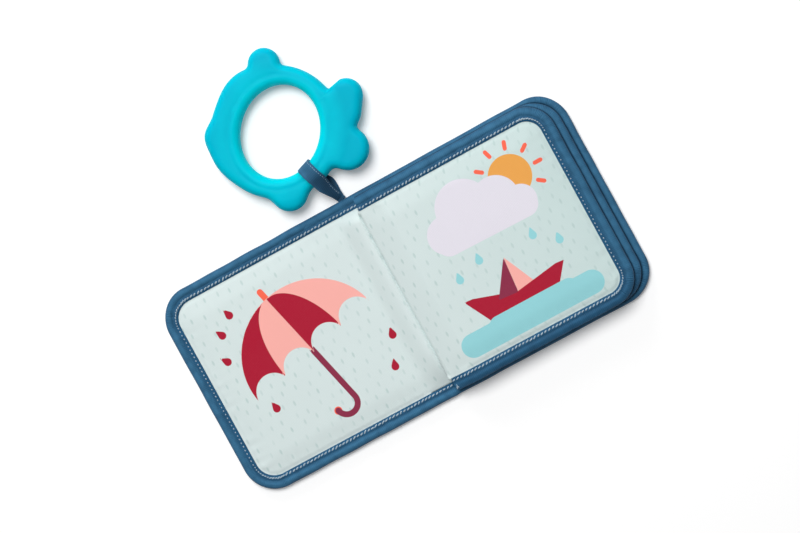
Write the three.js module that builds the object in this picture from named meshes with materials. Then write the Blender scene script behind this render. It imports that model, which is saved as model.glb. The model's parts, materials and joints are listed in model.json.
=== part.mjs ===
// A baby's bath book, open at its first spread, with a fish-shaped teething ring on a loop.
// Millimetres, +Z up. The book lies on its covers: X runs across the spread, Y up the pages.
// Each cover and leaf is a foam pad between two printed sheets, and a folded tape binds its edges.
import * as THREE from "three";

// Covers
const COVER_REACH = 141.5; // from the fold line in the spine to the fore-edge
const COVER_HEIGHT = 140;
const COVER_CORNER = 21;
const SPINE_HALF_WIDTH = 10;
const SPINE_ARCH = 3.2; // height of the buckled spine strip over the table

// Leaves
const LEAF_COUNT = 2;
const LEAF_HEIGHT = 134.4;
const LEAF_CORNER = 19;
const FORE_EDGE_STEP = 5; // each leaf falls this far short of the one below it
const ROOT_REACH = 1.5; // from the fold line to a leaf's inner edge
const ROOT_RUN = 14; // length of the bend where a leaf comes down to the spine
const ROOT_LIFT = 5.5; // height of the lowest tape at the spine
const FOAM_SETBACK = 7; // the foam stops this far short of a leaf's inner edge

// Pads, sheets and binding tape
const PAD_THICKNESS = 5.4; // sheet to sheet at the crown
const SEWN_THICKNESS = 3.2; // sheet to sheet under the tape
const CROWN_RUN = 16; // width of the slope from the tape up to the crown
const SHEET = 0.6;
const TAPE = 0.6;
const TAPE_FACE = 9.8;
const LAYER_GAP = 0.6; // air between one leaf and the next
const CLEARANCE = 0.3;

// Loop
const LOOP_PLY = 1;
const LOOP_WIDTH = 9.5;
const LOOP_ROOT_WIDTH = 5;
const LOOP_REACH = 21.3; // from its sewn end to the middle of the ring's section
const LOOP_OFFSET = 6; // the sewn end's distance from the fold line
const LOOP_LEAN = THREE.MathUtils.degToRad(19);
const LOOP_SLACK = 0.65; // room round the ring's section, for the curve of the ring

// Teething ring, in the fish's own frame: mouth towards -X, tail towards +X
const RING_THICKNESS = 12;
const RING_TURN = THREE.MathUtils.degToRad(-22);
const BODY_RADIUS = 41.2;
const RING_ROUND = 4.5; // how far the round edges reach into its flat faces
const NECK_BLEND = 5; // roundness of the hollows between body, fins and tail
// Each lobe is a circle: its direction from the ring's centre in degrees, how far its centre lies
// out from the body's edge, and its radius.
const LOBES = {
  mouth: { turn: 178, out: -4.6, radius: 8.5 },
  cheek: { turn: 193, out: -21.9, radius: 23.7 },
  brow: { turn: 119.5, out: -19.4, radius: 21.3 },
  topFin: { turn: 94, out: 1.4, radius: 9.9 },
  bottomFin: { turn: -84.8, out: -3, radius: 11.5 },
  upperTail: { turn: 21, out: 7.8, radius: 10.1 },
  tailRoot: { turn: 11.2, out: 0.2, radius: 13.2 },
  lowerTail: { turn: -19.8, out: 4.1, radius: 13.4 },
};
const HOLE = { x: 2.1, y: -0.2, long: 29.1, short: 24.7, lean: THREE.MathUtils.degToRad(21) };
const GRIP_ANGLE = THREE.MathUtils.degToRad(-55.8); // where the loop goes round the ring

// Facets
const CORNER_STEPS = 4;
const PLAIN_ROWS = 5;
const RING_STEPS = 120;
const SECTION_STEPS = 5; // along each rounded edge of the ring's section

// Worked-out sizes
const PAD_HALF = PAD_THICKNESS / 2;
const SEWN_HALF = SEWN_THICKNESS / 2;
const ROOT_HALF = SHEET + CLEARANCE / 2;
const TAPE_OVER_SHEET = CLEARANCE + TAPE;
const LAYER_PITCH = PAD_THICKNESS + LAYER_GAP;
const ROOT_PITCH = 2 * (ROOT_HALF + TAPE_OVER_SHEET) + CLEARANCE;
const TAPE_BEND = TAPE + SEWN_HALF; // depth of the tape's round outer fold
const TAPE_INSET = TAPE_BEND + CLEARANCE; // the sheets' edges lie this far inside the tape's outer edge

const ease = (t) => THREE.MathUtils.smoothstep(t, 0, 1);

const cloth = (color) => new THREE.MeshStandardMaterial({ color, roughness: 0.8, metalness: 0 });
const materials = {
  print: cloth(0xd5e5e3),
  cover: cloth(0xc9dedd),
  tape: cloth(0x2f5f87),
  foam: new THREE.MeshStandardMaterial({ color: 0xf4f1e8, roughness: 0.95, metalness: 0 }),
  ring: new THREE.MeshStandardMaterial({ color: 0x00bcd0, roughness: 0.35, metalness: 0 }),
};

function part(name, geometry, material) {
  const mesh = new THREE.Mesh(geometry, material);
  mesh.name = name;
  return mesh;
}

// A solid through a row of stations. Each station has an outline of Vector2, counter-clockwise,
// and a frame that carries the outline's plane into place; frames step along their third axis.
function loft(stations, closed = false) {
  const count = stations[0].outline.length;
  const positions = [];
  for (const { outline, frame } of stations) {
    for (const { x, y } of outline) {
      positions.push(...new THREE.Vector3(x, y, 0).applyMatrix4(frame).toArray());
    }
  }
  const index = [];
  const spans = closed ? stations.length : stations.length - 1;
  for (let i = 0; i < spans; i++) {
    const near = i * count;
    const far = ((i + 1) % stations.length) * count;
    for (let j = 0; j < count; j++) {
      const k = (j + 1) % count;
      index.push(near + j, near + k, far + k, near + j, far + k, far + j);
    }
  }
  if (!closed) {
    const last = (stations.length - 1) * count;
    for (const [a, b, c] of THREE.ShapeUtils.triangulateShape(stations[0].outline, [])) index.push(a, c, b);
    for (const [a, b, c] of THREE.ShapeUtils.triangulateShape(stations.at(-1).outline, [])) {
      index.push(last + a, last + b, last + c);
    }
  }
  const geometry = new THREE.BufferGeometry();
  geometry.setAttribute("position", new THREE.Float32BufferAttribute(positions, 3));
  geometry.setIndex(index);
  return geometry;
}

const X = new THREE.Vector3(1, 0, 0);
const Z = new THREE.Vector3(0, 0, 1);

// The frame whose outline plane holds the direction along and +Z, at a point.
function uprightFrame(along, at) {
  const travel = new THREE.Vector3().crossVectors(along, Z);
  return new THREE.Matrix4().makeBasis(along, Z, travel).setPosition(at);
}

// A panel is a cover or a leaf: its outline from inner edge to fore-edge, and the height of its middle.
const coverPanel = {
  inner: SPINE_HALF_WIDTH,
  reach: COVER_REACH,
  height: COVER_HEIGHT,
  corner: COVER_CORNER,
  rise: () => 1,
  middle: () => PAD_HALF,
};

// Leaf 1 is the top leaf. Towards the spine a leaf thins and comes down to its root.
function leafPanel(number) {
  const layer = LEAF_COUNT + 1 - number;
  const rise = (x) => ease((x - ROOT_REACH) / ROOT_RUN);
  const flat = layer * LAYER_PITCH + PAD_HALF;
  const root = ROOT_LIFT + ROOT_HALF + TAPE_OVER_SHEET + (layer - 1) * ROOT_PITCH;
  return {
    inner: ROOT_REACH,
    reach: COVER_REACH - layer * FORE_EDGE_STEP,
    height: LEAF_HEIGHT,
    corner: LEAF_CORNER,
    rise,
    middle: (x) => THREE.MathUtils.lerp(root, flat, rise(x)),
  };
}

// How far a panel's outer face stands from its middle: pressed flat under the tape, crowned within.
function faceHeight(panel, x, y) {
  const fromEdge = Math.min(panel.height / 2 - Math.abs(y), panel.reach - x);
  const crowned = THREE.MathUtils.lerp(SEWN_HALF, PAD_HALF, ease((fromEdge - TAPE_FACE) / CROWN_RUN));
  return THREE.MathUtils.lerp(ROOT_HALF, crowned, panel.rise(x));
}

// Rows across a panel, from its top edge to its bottom: each row's y and where its fore-edge lies.
function panelRows(panel, inset) {
  const half = panel.height / 2 - inset;
  const reach = panel.reach - inset;
  const corner = panel.corner - inset;
  const rows = [];
  for (let i = 0; i <= CORNER_STEPS; i++) {
    const angle = ((1 - i / CORNER_STEPS) * Math.PI) / 2;
    rows.push({ y: half - corner * (1 - Math.sin(angle)), fore: reach - corner * (1 - Math.cos(angle)) });
  }
  const straight = half - corner;
  for (let i = 1; i < PLAIN_ROWS; i++) rows.push({ y: straight * (1 - (2 * i) / PLAIN_ROWS), fore: reach });
  return [...rows, ...rows.slice(0, CORNER_STEPS + 1).reverse().map(({ y, fore }) => ({ y: -y, fore }))];
}

// Where a panel's layers are bent: through the root first, then out to the fore-edge.
function panelColumns(panel, inner, fore) {
  const bends = [FOAM_SETBACK / 2, FOAM_SETBACK, (FOAM_SETBACK + ROOT_RUN) / 2, ROOT_RUN];
  const root = bends.map((run) => panel.inner + run).filter((x) => x > inner);
  const plain = [0.08, 0.45, 0.82, 0.88, 0.94, 1].map((share) => THREE.MathUtils.lerp(root.at(-1), fore, share));
  return [inner, ...root, ...plain];
}

// One layer of a panel, between two heights measured from the panel's middle.
function layer(panel, inset, inner, lower, upper) {
  const stations = panelRows(panel, inset).map(({ y, fore }) => {
    const columns = panelColumns(panel, inner, fore);
    const at = (height) => (x) => new THREE.Vector2(x, panel.middle(x) + height(faceHeight(panel, x, y)));
    const outline = [...columns.map(at(lower)), ...columns.map(at(upper)).reverse()];
    return { outline, frame: uprightFrame(X, new THREE.Vector3(0, y, 0)) };
  });
  return loft(stations);
}

const topSheet = (panel) => layer(panel, TAPE_INSET, panel.inner, (face) => face - SHEET, (face) => face);
const bottomSheet = (panel) => layer(panel, TAPE_INSET, panel.inner, (face) => -face, (face) => SHEET - face);

function foamPad(panel, setback) {
  const core = (face) => face - SHEET - CLEARANCE;
  return layer(panel, TAPE_INSET + CLEARANCE, panel.inner + setback, (face) => -core(face), core);
}

// The tape's section: a U over an edge whose faces stand at the given height, round at the outer fold.
function tapeSection(faceHeightThere) {
  const outer = faceHeightThere + TAPE_OVER_SHEET;
  const inner = faceHeightThere + CLEARANCE;
  const fold = (edge, height) => [
    [TAPE_FACE, height],
    [TAPE_BEND, height],
    [THREE.MathUtils.lerp(edge, TAPE_BEND, 0.3), height * 0.7],
    [edge, 0],
    [THREE.MathUtils.lerp(edge, TAPE_BEND, 0.3), -height * 0.7],
    [TAPE_BEND, -height],
    [TAPE_FACE, -height],
  ];
  return [...fold(0, outer), ...fold(TAPE, inner).reverse()].map(([x, y]) => new THREE.Vector2(x, y));
}

// The tape round a panel's three free edges, counter-clockwise from its inner bottom corner.
function binding(panel) {
  const half = panel.height / 2;
  const near = half - panel.corner;
  const far = panel.reach - panel.corner;
  const rootXs = [0, 0.25, 0.5, 0.75, 1].map((share) => panel.inner + share * ROOT_RUN);
  const stations = [];
  const add = (x, y, inward) => {
    const outline = tapeSection(THREE.MathUtils.lerp(ROOT_HALF, SEWN_HALF, panel.rise(x)));
    const direction = new THREE.Vector3(Math.cos(inward), Math.sin(inward), 0);
    stations.push({ outline, frame: uprightFrame(direction, new THREE.Vector3(x, y, panel.middle(x))) });
  };
  const corner = (y, from) => {
    for (let i = 0; i <= CORNER_STEPS; i++) {
      const angle = from + ((i / CORNER_STEPS) * Math.PI) / 2;
      add(far + panel.corner * Math.cos(angle), y + panel.corner * Math.sin(angle), angle + Math.PI);
    }
  };
  for (const x of rootXs) add(x, -half, Math.PI / 2);
  corner(-near, -Math.PI / 2);
  corner(near, 0);
  for (const x of rootXs.toReversed()) add(x, half, -Math.PI / 2);
  return loft(stations);
}

// The spine strip lies between the covers and buckles up a little; the tape runs on over its ends.
const spineEdge = CLEARANCE + TAPE_OVER_SHEET + SHEET / 2;
const spineHalf = SPINE_HALF_WIDTH - CLEARANCE;
const spineMiddle = (x) => THREE.MathUtils.lerp(SPINE_ARCH, spineEdge, (x / SPINE_HALF_WIDTH) ** 2);
const spineXs = [-1, -0.6, -0.2, 0.2, 0.6, 1].map((share) => share * spineHalf);

// A strip of sheet that follows a curve in the X-Z plane and runs along Y.
function strip(xs, heightAt, length) {
  const line = (side) => (x) => new THREE.Vector2(x, heightAt(x) + (side * SHEET) / 2);
  const outline = [...xs.map(line(-1)), ...xs.map(line(1)).reverse()];
  const ends = [length / 2, -length / 2];
  return loft(ends.map((y) => ({ outline, frame: uprightFrame(X, new THREE.Vector3(0, y, 0)) })));
}

// The stretch of the first spread that climbs from the front cover to the top leaf's root.
function spreadFold(topLeaf) {
  const from = -spineHalf;
  const to = ROOT_REACH - SHEET - CLEARANCE;
  const low = PAD_THICKNESS - SHEET / 2;
  const high = topLeaf.middle(ROOT_REACH);
  const xs = [0, 0.25, 0.5, 0.75, 1].map((share) => THREE.MathUtils.lerp(from, to, share));
  const climb = (x) => THREE.MathUtils.lerp(low, high, ease((x - from) / (to - from)));
  return strip(xs, climb, COVER_HEIGHT - 2 * (TAPE_FACE + CLEARANCE));
}

// The tape over one end of the spine, from cover to cover.
function spineBinding(side) {
  const inward = new THREE.Vector3(0, -side, 0);
  const xs = side > 0 ? spineXs.toReversed() : spineXs;
  const outline = tapeSection(SHEET / 2);
  const at = (x) => new THREE.Vector3(x, (side * COVER_HEIGHT) / 2, spineMiddle(x));
  return loft(xs.map((x) => ({ outline, frame: uprightFrame(inward, at(x)) })));
}

// Fish outline: circles joined with soft hollows, read as a distance from the ring's centre.
function fishDistance(x, y) {
  let distance = Math.hypot(x, y) - BODY_RADIUS;
  for (const { turn, out, radius } of Object.values(LOBES)) {
    const heading = THREE.MathUtils.degToRad(turn);
    const reach = BODY_RADIUS + out;
    const other = Math.hypot(x - reach * Math.cos(heading), y - reach * Math.sin(heading)) - radius;
    const mix = Math.max(NECK_BLEND - Math.abs(distance - other), 0) / NECK_BLEND;
    distance = Math.min(distance, other) - (mix * mix * NECK_BLEND) / 4;
  }
  return distance;
}

// The outermost point of the fish along an angle, by halving.
function outerRadius(angle) {
  let inside = BODY_RADIUS / 2;
  let outside = BODY_RADIUS * 2;
  for (let i = 0; i < 40; i++) {
    const middle = (inside + outside) / 2;
    if (fishDistance(middle * Math.cos(angle), middle * Math.sin(angle)) < 0) inside = middle;
    else outside = middle;
  }
  return inside;
}

// The rim of the leaning oval hole along an angle from the ring's centre.
function holeRadius(angle) {
  const turn = Math.PI / 2 - HOLE.lean;
  const across = (x, y) => [
    (x * Math.cos(turn) + y * Math.sin(turn)) / HOLE.long,
    (y * Math.cos(turn) - x * Math.sin(turn)) / HOLE.short,
  ];
  const [dx, dy] = across(Math.cos(angle), Math.sin(angle));
  const [cx, cy] = across(HOLE.x, HOLE.y);
  const a = dx * dx + dy * dy;
  const b = dx * cx + dy * cy;
  const c = cx * cx + cy * cy - 1;
  return (b + Math.sqrt(b * b - a * c)) / a;
}

// The ring's section along an angle: flat faces with round inner and outer edges.
function ringSection(angle) {
  const inner = holeRadius(angle);
  const outer = outerRadius(angle);
  const half = (outer - inner) / 2;
  const thick = RING_THICKNESS / 2;
  const round = Math.min(RING_ROUND, half * 0.9);
  const outline = [];
  for (const [centre, start] of [[outer - round, -Math.PI / 2], [inner + round, Math.PI / 2]]) {
    for (let i = 0; i <= SECTION_STEPS; i++) {
      const turn = start + (i / SECTION_STEPS) * Math.PI;
      outline.push(new THREE.Vector2(centre + round * Math.cos(turn), thick * Math.sin(turn)));
    }
  }
  return outline;
}

function fishRing() {
  const stations = [];
  for (let i = 0; i < RING_STEPS; i++) {
    const angle = (-i / RING_STEPS) * 2 * Math.PI;
    const radial = new THREE.Vector3(Math.cos(angle), Math.sin(angle), 0);
    stations.push({ outline: ringSection(angle), frame: uprightFrame(radial, new THREE.Vector3()) });
  }
  return loft(stations, true);
}

// The outline of a belt round a large and a small circle.
function belt(path, large, largeRadius, small, smallRadius) {
  const line = new THREE.Vector2().subVectors(small, large);
  const spread = Math.acos((largeRadius - smallRadius) / line.length());
  const heading = line.angle();
  path.absarc(large.x, large.y, largeRadius, heading + spread, heading - spread + 2 * Math.PI, false);
  path.absarc(small.x, small.y, smallRadius, heading - spread, heading + spread, false);
  return path;
}

const gripInner = holeRadius(GRIP_ANGLE);
const gripOuter = outerRadius(GRIP_ANGLE);
const gripRadius = (gripInner + gripOuter) / 2;
const sectionReach = Math.max(RING_THICKNESS, gripOuter - gripInner) / 2;
const loopInner = sectionReach + LOOP_SLACK;
const loopOuter = loopInner + LOOP_PLY;
const loopRoot = LOOP_PLY + CLEARANCE / 2;
const loopRootHeight = spineMiddle(LOOP_OFFSET);

// The loop from its sewn end, at the origin, to the ring, along +X; +Y of its profile is up.
function hangingLoop() {
  const grip = new THREE.Vector2(LOOP_REACH, loopOuter - loopRootHeight);
  const outline = belt(new THREE.Shape(), grip, loopOuter, new THREE.Vector2(), loopRoot);
  const throat = grip.clone().multiplyScalar((2 * loopRoot) / LOOP_REACH);
  outline.holes.push(belt(new THREE.Path(), grip, loopInner, throat, CLEARANCE / 2));
  const options = { depth: LOOP_WIDTH, bevelEnabled: false, curveSegments: 20 };
  const geometry = new THREE.ExtrudeGeometry(outline, options).translate(0, 0, -LOOP_WIDTH / 2);
  const position = geometry.getAttribute("position");
  const pinch = LOOP_ROOT_WIDTH / LOOP_WIDTH;
  for (let i = 0; i < position.count; i++) {
    const share = ease(position.getX(i) / (LOOP_REACH - loopOuter));
    position.setZ(i, position.getZ(i) * THREE.MathUtils.lerp(pinch, 1, share));
  }
  return geometry.rotateX(Math.PI / 2);
}

// Book
const book = new THREE.Group();
const leaves = Array.from({ length: LEAF_COUNT }, (_, i) => leafPanel(i + 1));

const backCover = new THREE.Group();
backCover.add(part("back_cover_sheet", bottomSheet(coverPanel), materials.cover));
backCover.add(part("back_foam", foamPad(coverPanel, CLEARANCE), materials.foam));
backCover.add(part(`spread_${LEAF_COUNT + 1}_right`, topSheet(coverPanel), materials.print));
backCover.add(part("back_binding", binding(coverPanel), materials.tape));

const spine = new THREE.Group();
const spineLength = COVER_HEIGHT - 2 * TAPE_INSET;
spine.add(part("spine_sheet", strip(spineXs, spineMiddle, spineLength), materials.cover));
spine.add(part("spine_binding_top", spineBinding(1), materials.tape));
spine.add(part("spine_binding_bottom", spineBinding(-1), materials.tape));
spine.add(part("spread_1_fold", spreadFold(leaves[0]), materials.print));

const frontCover = new THREE.Group();
frontCover.rotation.z = Math.PI;
frontCover.add(part("front_cover_sheet", bottomSheet(coverPanel), materials.cover));
frontCover.add(part("front_foam", foamPad(coverPanel, CLEARANCE), materials.foam));
frontCover.add(part("spread_1_left", topSheet(coverPanel), materials.print));
frontCover.add(part("front_binding", binding(coverPanel), materials.tape));

book.add(backCover, spine, frontCover);
leaves.forEach((panel, i) => {
  const number = i + 1;
  book.add(part(`spread_${number}_right`, topSheet(panel), materials.print));
  book.add(part(`leaf_${number}_foam`, foamPad(panel, FOAM_SETBACK), materials.foam));
  book.add(part(`spread_${number + 1}_left`, bottomSheet(panel), materials.print));
  book.add(part(`leaf_${number}_binding`, binding(panel), materials.tape));
});

// The loop leans away from the fold line; its sewn end clears the tape along its whole width.
const loopClear = CLEARANCE + loopRoot + (LOOP_ROOT_WIDTH / 2) * Math.sin(LOOP_LEAN);
const loop = new THREE.Group();
loop.position.set(-LOOP_OFFSET, COVER_HEIGHT / 2 + loopClear, loopRootHeight);
loop.rotation.z = Math.PI / 2 + LOOP_LEAN;
loop.add(part("hanging_loop", hangingLoop(), materials.tape));

// The ring lies in the loop at one end and on the table at the other, so it tilts a little.
const ringReach = gripRadius + BODY_RADIUS;
const ringSeat = new THREE.Group();
ringSeat.position.set(LOOP_REACH, 0, loopOuter - loopRootHeight);
ringSeat.rotation.y = Math.asin((loopOuter - RING_THICKNESS / 2) / ringReach);
const ring = part("teether_ring", fishRing(), materials.ring);
const ringHeading = RING_TURN - loop.rotation.z;
ring.rotation.z = ringHeading;
ring.position.set(
  -gripRadius * Math.cos(GRIP_ANGLE + ringHeading),
  -gripRadius * Math.sin(GRIP_ANGLE + ringHeading),
  0,
);
ringSeat.add(ring);
loop.add(ringSeat);
book.add(loop);

// The origin is under the middle of the whole part, on the table.
const part_group = new THREE.Group();
part_group.add(book);
part_group.updateMatrixWorld(true);
const bounds = new THREE.Box3().setFromObject(part_group, true);
const centre = bounds.getCenter(new THREE.Vector3());
book.position.set(-centre.x, -centre.y, -bounds.min.z);

export default part_group;
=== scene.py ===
"""Bath book: a soft padded book lying open, with a fish-shaped teething ring on a cloth loop.

Shapes are worked out in millimetres, with x = 0 on the fold line, y = 0 at the middle of the
pages and z = 0 on the table, and go into the meshes in metres in the row frame.
"""
import json
import math
from types import SimpleNamespace

import bpy
import numpy as np
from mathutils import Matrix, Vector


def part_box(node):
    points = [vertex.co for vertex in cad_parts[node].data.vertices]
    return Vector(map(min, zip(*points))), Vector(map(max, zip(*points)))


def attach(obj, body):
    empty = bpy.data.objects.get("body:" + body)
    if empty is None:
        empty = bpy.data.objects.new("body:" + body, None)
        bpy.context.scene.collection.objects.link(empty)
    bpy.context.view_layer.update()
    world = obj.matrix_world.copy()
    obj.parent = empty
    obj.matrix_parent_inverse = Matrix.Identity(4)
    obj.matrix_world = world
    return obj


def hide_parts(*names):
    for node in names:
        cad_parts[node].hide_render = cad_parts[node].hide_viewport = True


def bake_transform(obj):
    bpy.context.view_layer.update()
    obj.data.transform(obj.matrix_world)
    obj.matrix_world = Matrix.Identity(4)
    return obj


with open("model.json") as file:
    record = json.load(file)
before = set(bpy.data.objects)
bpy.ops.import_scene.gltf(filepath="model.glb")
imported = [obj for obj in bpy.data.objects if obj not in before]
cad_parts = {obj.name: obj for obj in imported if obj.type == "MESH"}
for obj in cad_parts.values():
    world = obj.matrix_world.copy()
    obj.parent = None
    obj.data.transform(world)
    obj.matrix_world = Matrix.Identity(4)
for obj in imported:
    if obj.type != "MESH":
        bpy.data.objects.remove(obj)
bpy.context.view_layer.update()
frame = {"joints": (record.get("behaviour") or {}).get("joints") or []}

bl_info = {
    "name": "Bath Book",
    "version": (1, 0, 0),
    "blender": (4, 5, 0),
    "location": "View3D > Sidebar > Bath Book",
    "description": "Builds a padded cloth bath book and its teething ring round the packed frame",
    "category": "Add Mesh",
}

MM = 0.001
INKS = ("amber", "coral", "lavender", "salmon", "crimson", "burgundy", "turquoise")
NO_INK = 9.0  # a signed distance far outside any motif, in mm
WAVE_PERIOD = math.pi / 10  # Wave Texture's own period at scale 1
SMOOTH = {"interpolation_type": "SMOOTHSTEP"}  # for a Map Range that eases in and out

BACK_LOW, BACK_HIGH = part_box("back_binding")
LEAF_BOXES = {number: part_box(f"leaf_{number}_binding") for number in (1, 2)}
JOINTS = {joint["name"]: joint for joint in frame["joints"]}
PAGE_MIDDLE = (BACK_LOW.y + BACK_HIGH.y) / 2
TAPE_FLAT_HALF = 0.0025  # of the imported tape, away from the root
TAPE_ROOT_HALF = 0.00165


def linear(code):
    """An sRGB hex colour as linear red, green and blue."""
    parts = np.array([int(code[i:i + 2], 16) for i in (1, 3, 5)]) / 255
    return tuple(np.where(parts <= 0.04045, parts / 12.92, ((parts + 0.055) / 1.055) ** 2.4))


def length(label, text, default):
    """A length property, in metres."""
    return bpy.props.FloatProperty(name=label, description=text, default=default, unit="LENGTH", precision=4)


def colour(label, text, code):
    """A colour property, from an sRGB hex value."""
    return bpy.props.FloatVectorProperty(
        name=label, description=text, default=linear(code), subtype="COLOR", size=3, min=0, max=1)


class BathBookSizes(bpy.types.PropertyGroup):
    """Sizes of the book's panels, cloth, tape and stitches."""
    cover_reach: length("Cover reach", "From the fold line to a cover's fore-edge", BACK_HIGH.x)
    cover_height: length("Cover height", "Outer height of a cover", BACK_HIGH.y - BACK_LOW.y)
    cover_corner: length("Cover corner", "Radius of a cover's corners", 0.021)
    spine_half: length("Spine half width", "From the fold line to a cover's pad", BACK_LOW.x)
    leaf_1_reach: length("Top leaf reach", "From the fold line to the fore-edge", LEAF_BOXES[1][1].x)
    leaf_2_reach: length("Lower leaf reach", "From the fold line to the fore-edge", LEAF_BOXES[2][1].x)
    leaf_height: length("Leaf height", "Outer height of a leaf", LEAF_BOXES[1][1].y - LEAF_BOXES[1][0].y)
    leaf_corner: length("Leaf corner", "Radius of a leaf's corners", 0.019)
    leaf_1_flat: length("Top leaf level", "Middle of the pad", LEAF_BOXES[1][1].z - TAPE_FLAT_HALF)
    leaf_2_flat: length("Lower leaf level", "Middle of the pad", LEAF_BOXES[2][1].z - TAPE_FLAT_HALF)
    leaf_1_root: length("Top leaf root", "Middle of the root", LEAF_BOXES[1][0].z + TAPE_ROOT_HALF)
    leaf_2_root: length("Lower leaf root", "Middle of the root", LEAF_BOXES[2][0].z + TAPE_ROOT_HALF)
    root_reach: length("Root reach", "From the fold line to a leaf's inner edge", LEAF_BOXES[1][0].x)
    root_run: length("Root run", "Length of the bend at a leaf's root", 0.014)
    pad: length("Pad thickness", "Sheet to sheet at the crown", 0.0054)
    sewn: length("Sewn thickness", "Sheet to sheet under the tape", 0.0032)
    pinched: length("Pinched thickness", "Sheet to sheet at the root", 0.0015)
    crown_run: length("Crown run", "Slope from the tape up to the crown", 0.014)
    sheet: length("Sheet", "Thickness of the printed cloth", 0.0006)
    tape_face: length("Tape face", "Width of the tape on each face", 0.0087)
    tape: length("Tape", "Thickness of the tape", 0.0006)
    sheet_inset: length("Sheet inset", "From the tape's edge to the sheet's", 0.0025)
    stitch_line: length("Stitch line", "From the tape's edge to the stitches", 0.0070)
    stitch_pitch: length("Stitch pitch", "From one stitch to the next", 0.00255)
    stitch_length: length("Stitch length", "Visible length of one stitch", 0.0019)
    thread: length("Thread", "Diameter of the topstitching thread", 0.00066)
    ridge: length("Crease ridge", "Height of the soft ridge along the gutter", 0.0107)


class BathBookRing(bpy.types.PropertyGroup):
    """Sizes of the teething ring and the loop that holds it."""
    thickness: length("Ring thickness", "Through the ring's middle", 0.012)
    body_radius: length("Body radius", "Of the fish's round body", 0.0412)
    neck_blend: length("Neck blend", "Roundness of the hollows beside fins and tail", 0.005)
    edge_round: length("Edge round", "Reach of the round edges into the ring's faces", 0.0062)
    rim: length("Rim groove", "Depth of the soft groove round the hole", 0.0002)
    loop_width: length("Loop width", "Of the strap where it holds the ring", 0.0095)
    loop_root_width: length("Loop root width", "Of the strap where it is sewn in", 0.0052)
    loop_ply: length("Loop ply", "Thickness of the strap", 0.001)


class BathBookColours(bpy.types.PropertyGroup):
    """Colours of the cloth, tape, thread, foam, silicone, inks and paper."""
    ground: colour("Ground", "Unprinted cloth", "#DAE7E6")
    # Painted shade: a right page's ground darkens towards this colour out to its fore-edge.
    ground_deep: colour("Ground, deep", "Unprinted cloth towards a right page's fore-edge", "#CBDFDD")
    dash: colour("Dash", "Small rain dashes on the ground", "#B4CDCA")
    cover: colour("Cover", "Outside cloth", "#C6DCDA")
    dye_shade: colour("Dye shade", "Unevenness of the cloth's dye", "#7C9095")
    weave_shade: colour("Weave shade", "Hollows of the cloth's weave", "#596161")
    tape: colour("Tape", "Binding tape", "#215579")
    # Besides a random darker tone, this colour paints shade in the groove, under the leaf above and along the
    # strap.
    tape_dark: colour("Tape hollows", "Tape in its hollows", "#123049")
    # Painted highlight, partly wear: the roll's crown is lightened towards this colour.
    tape_worn: colour("Tape crown", "Rubbed tape on its crown", "#447FA3")
    thread: colour("Thread", "Topstitching thread", "#AFC0CC")
    foam: colour("Foam", "Padding", "#F2EEE2")
    foam_cell: colour("Foam cells", "Hollows of the padding's cells", "#CEC8B8")
    silicone: colour("Silicone", "Teething ring", "#00D1E2")
    # Deeper tones of the silicone, and painted shade in a thin band at the outer edge.
    silicone_deep: colour("Silicone, deep", "Teething ring at its outer edge", "#00B6CF")
    # Painted glow along the hole's rim, for light through the thin silicone.
    silicone_glow: colour("Silicone, glowing", "Teething ring at the hole's rim", "#00DEE8")
    amber: colour("Amber ink", "Print", "#F0A850")
    coral: colour("Coral ink", "Print", "#FF6A50")
    lavender: colour("Lavender ink", "Print", "#E8E4EE")
    salmon: colour("Salmon ink", "Print", "#FFB4AB")
    crimson: colour("Crimson ink", "Print", "#B00A2F")
    burgundy: colour("Burgundy ink", "Print", "#8F2A48")
    turquoise: colour("Turquoise ink", "Print", "#98D8DE")
    paper: colour("Paper", "White floor", "#F6F6F6")


GROUPS = {"bath_book_sizes": BathBookSizes, "bath_book_ring": BathBookRing, "bath_book_colours": BathBookColours}


def in_mm(group):
    """A property group's lengths in millimetres."""
    held = getattr(bpy.context.scene, group)
    return SimpleNamespace(**{key: getattr(held, key) / MM for key in GROUPS[group].__annotations__})


def paint(key):
    """A colour of the book as linear red, green, blue and alpha."""
    return (*getattr(bpy.context.scene.bath_book_colours, key), 1.0)


# Small curves shared by the shapes

def ease(t):
    """The smooth step 3t^2 - 2t^3, held at 0 and 1 outside."""
    t = np.clip(t, 0, 1)
    return t * t * (3 - 2 * t)


def mix(a, b, t):
    """The straight mix a + (b - a) t."""
    return a + (b - a) * t


def bump_at(x, centre, width):
    """A bell curve exp(-((x - centre) / width)^2)."""
    return np.exp(-(((x - centre) / width) ** 2))


def waver(along, pitch, seed, count=5):
    """A seeded mix of sines whose wavelengths lie near the pitch, about -1 to 1."""
    draw = np.random.default_rng(seed)
    lengths = pitch * draw.uniform(0.65, 1.5, count)
    starts = draw.uniform(0, 2 * np.pi, count)
    waves = np.sin(2 * np.pi * np.asarray(along)[..., None] / lengths + starts)
    return waves.sum(-1) / np.sqrt(count)


def swell(x, y, pitch, seed, count=7):
    """A seeded mix of plane waves in x and y whose wavelengths lie near the pitch, about -1 to 1."""
    draw = np.random.default_rng(seed)
    turn = draw.uniform(0, np.pi, count)
    lengths = pitch * draw.uniform(0.7, 1.6, count)
    starts = draw.uniform(0, 2 * np.pi, count)
    along = x[..., None] * np.cos(turn) + y[..., None] * np.sin(turn)
    return np.sin(2 * np.pi * along / lengths + starts).sum(-1) / np.sqrt(count)


# Meshes

def net(rows, columns, close_rows=False, close_columns=False):
    """The quads of a grid of points numbered row by row, joined up where a way round is closed."""
    i = np.arange(rows if close_rows else rows - 1)[:, None]
    j = np.arange(columns if close_columns else columns - 1)[None, :]
    below, beside = (i + 1) % rows, (j + 1) % columns
    corners = (i * columns + j, i * columns + beside, below * columns + beside, below * columns + j)
    return np.stack([np.broadcast_to(c, (i.size, j.size)) for c in corners], -1).reshape(-1, 4)


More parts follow.
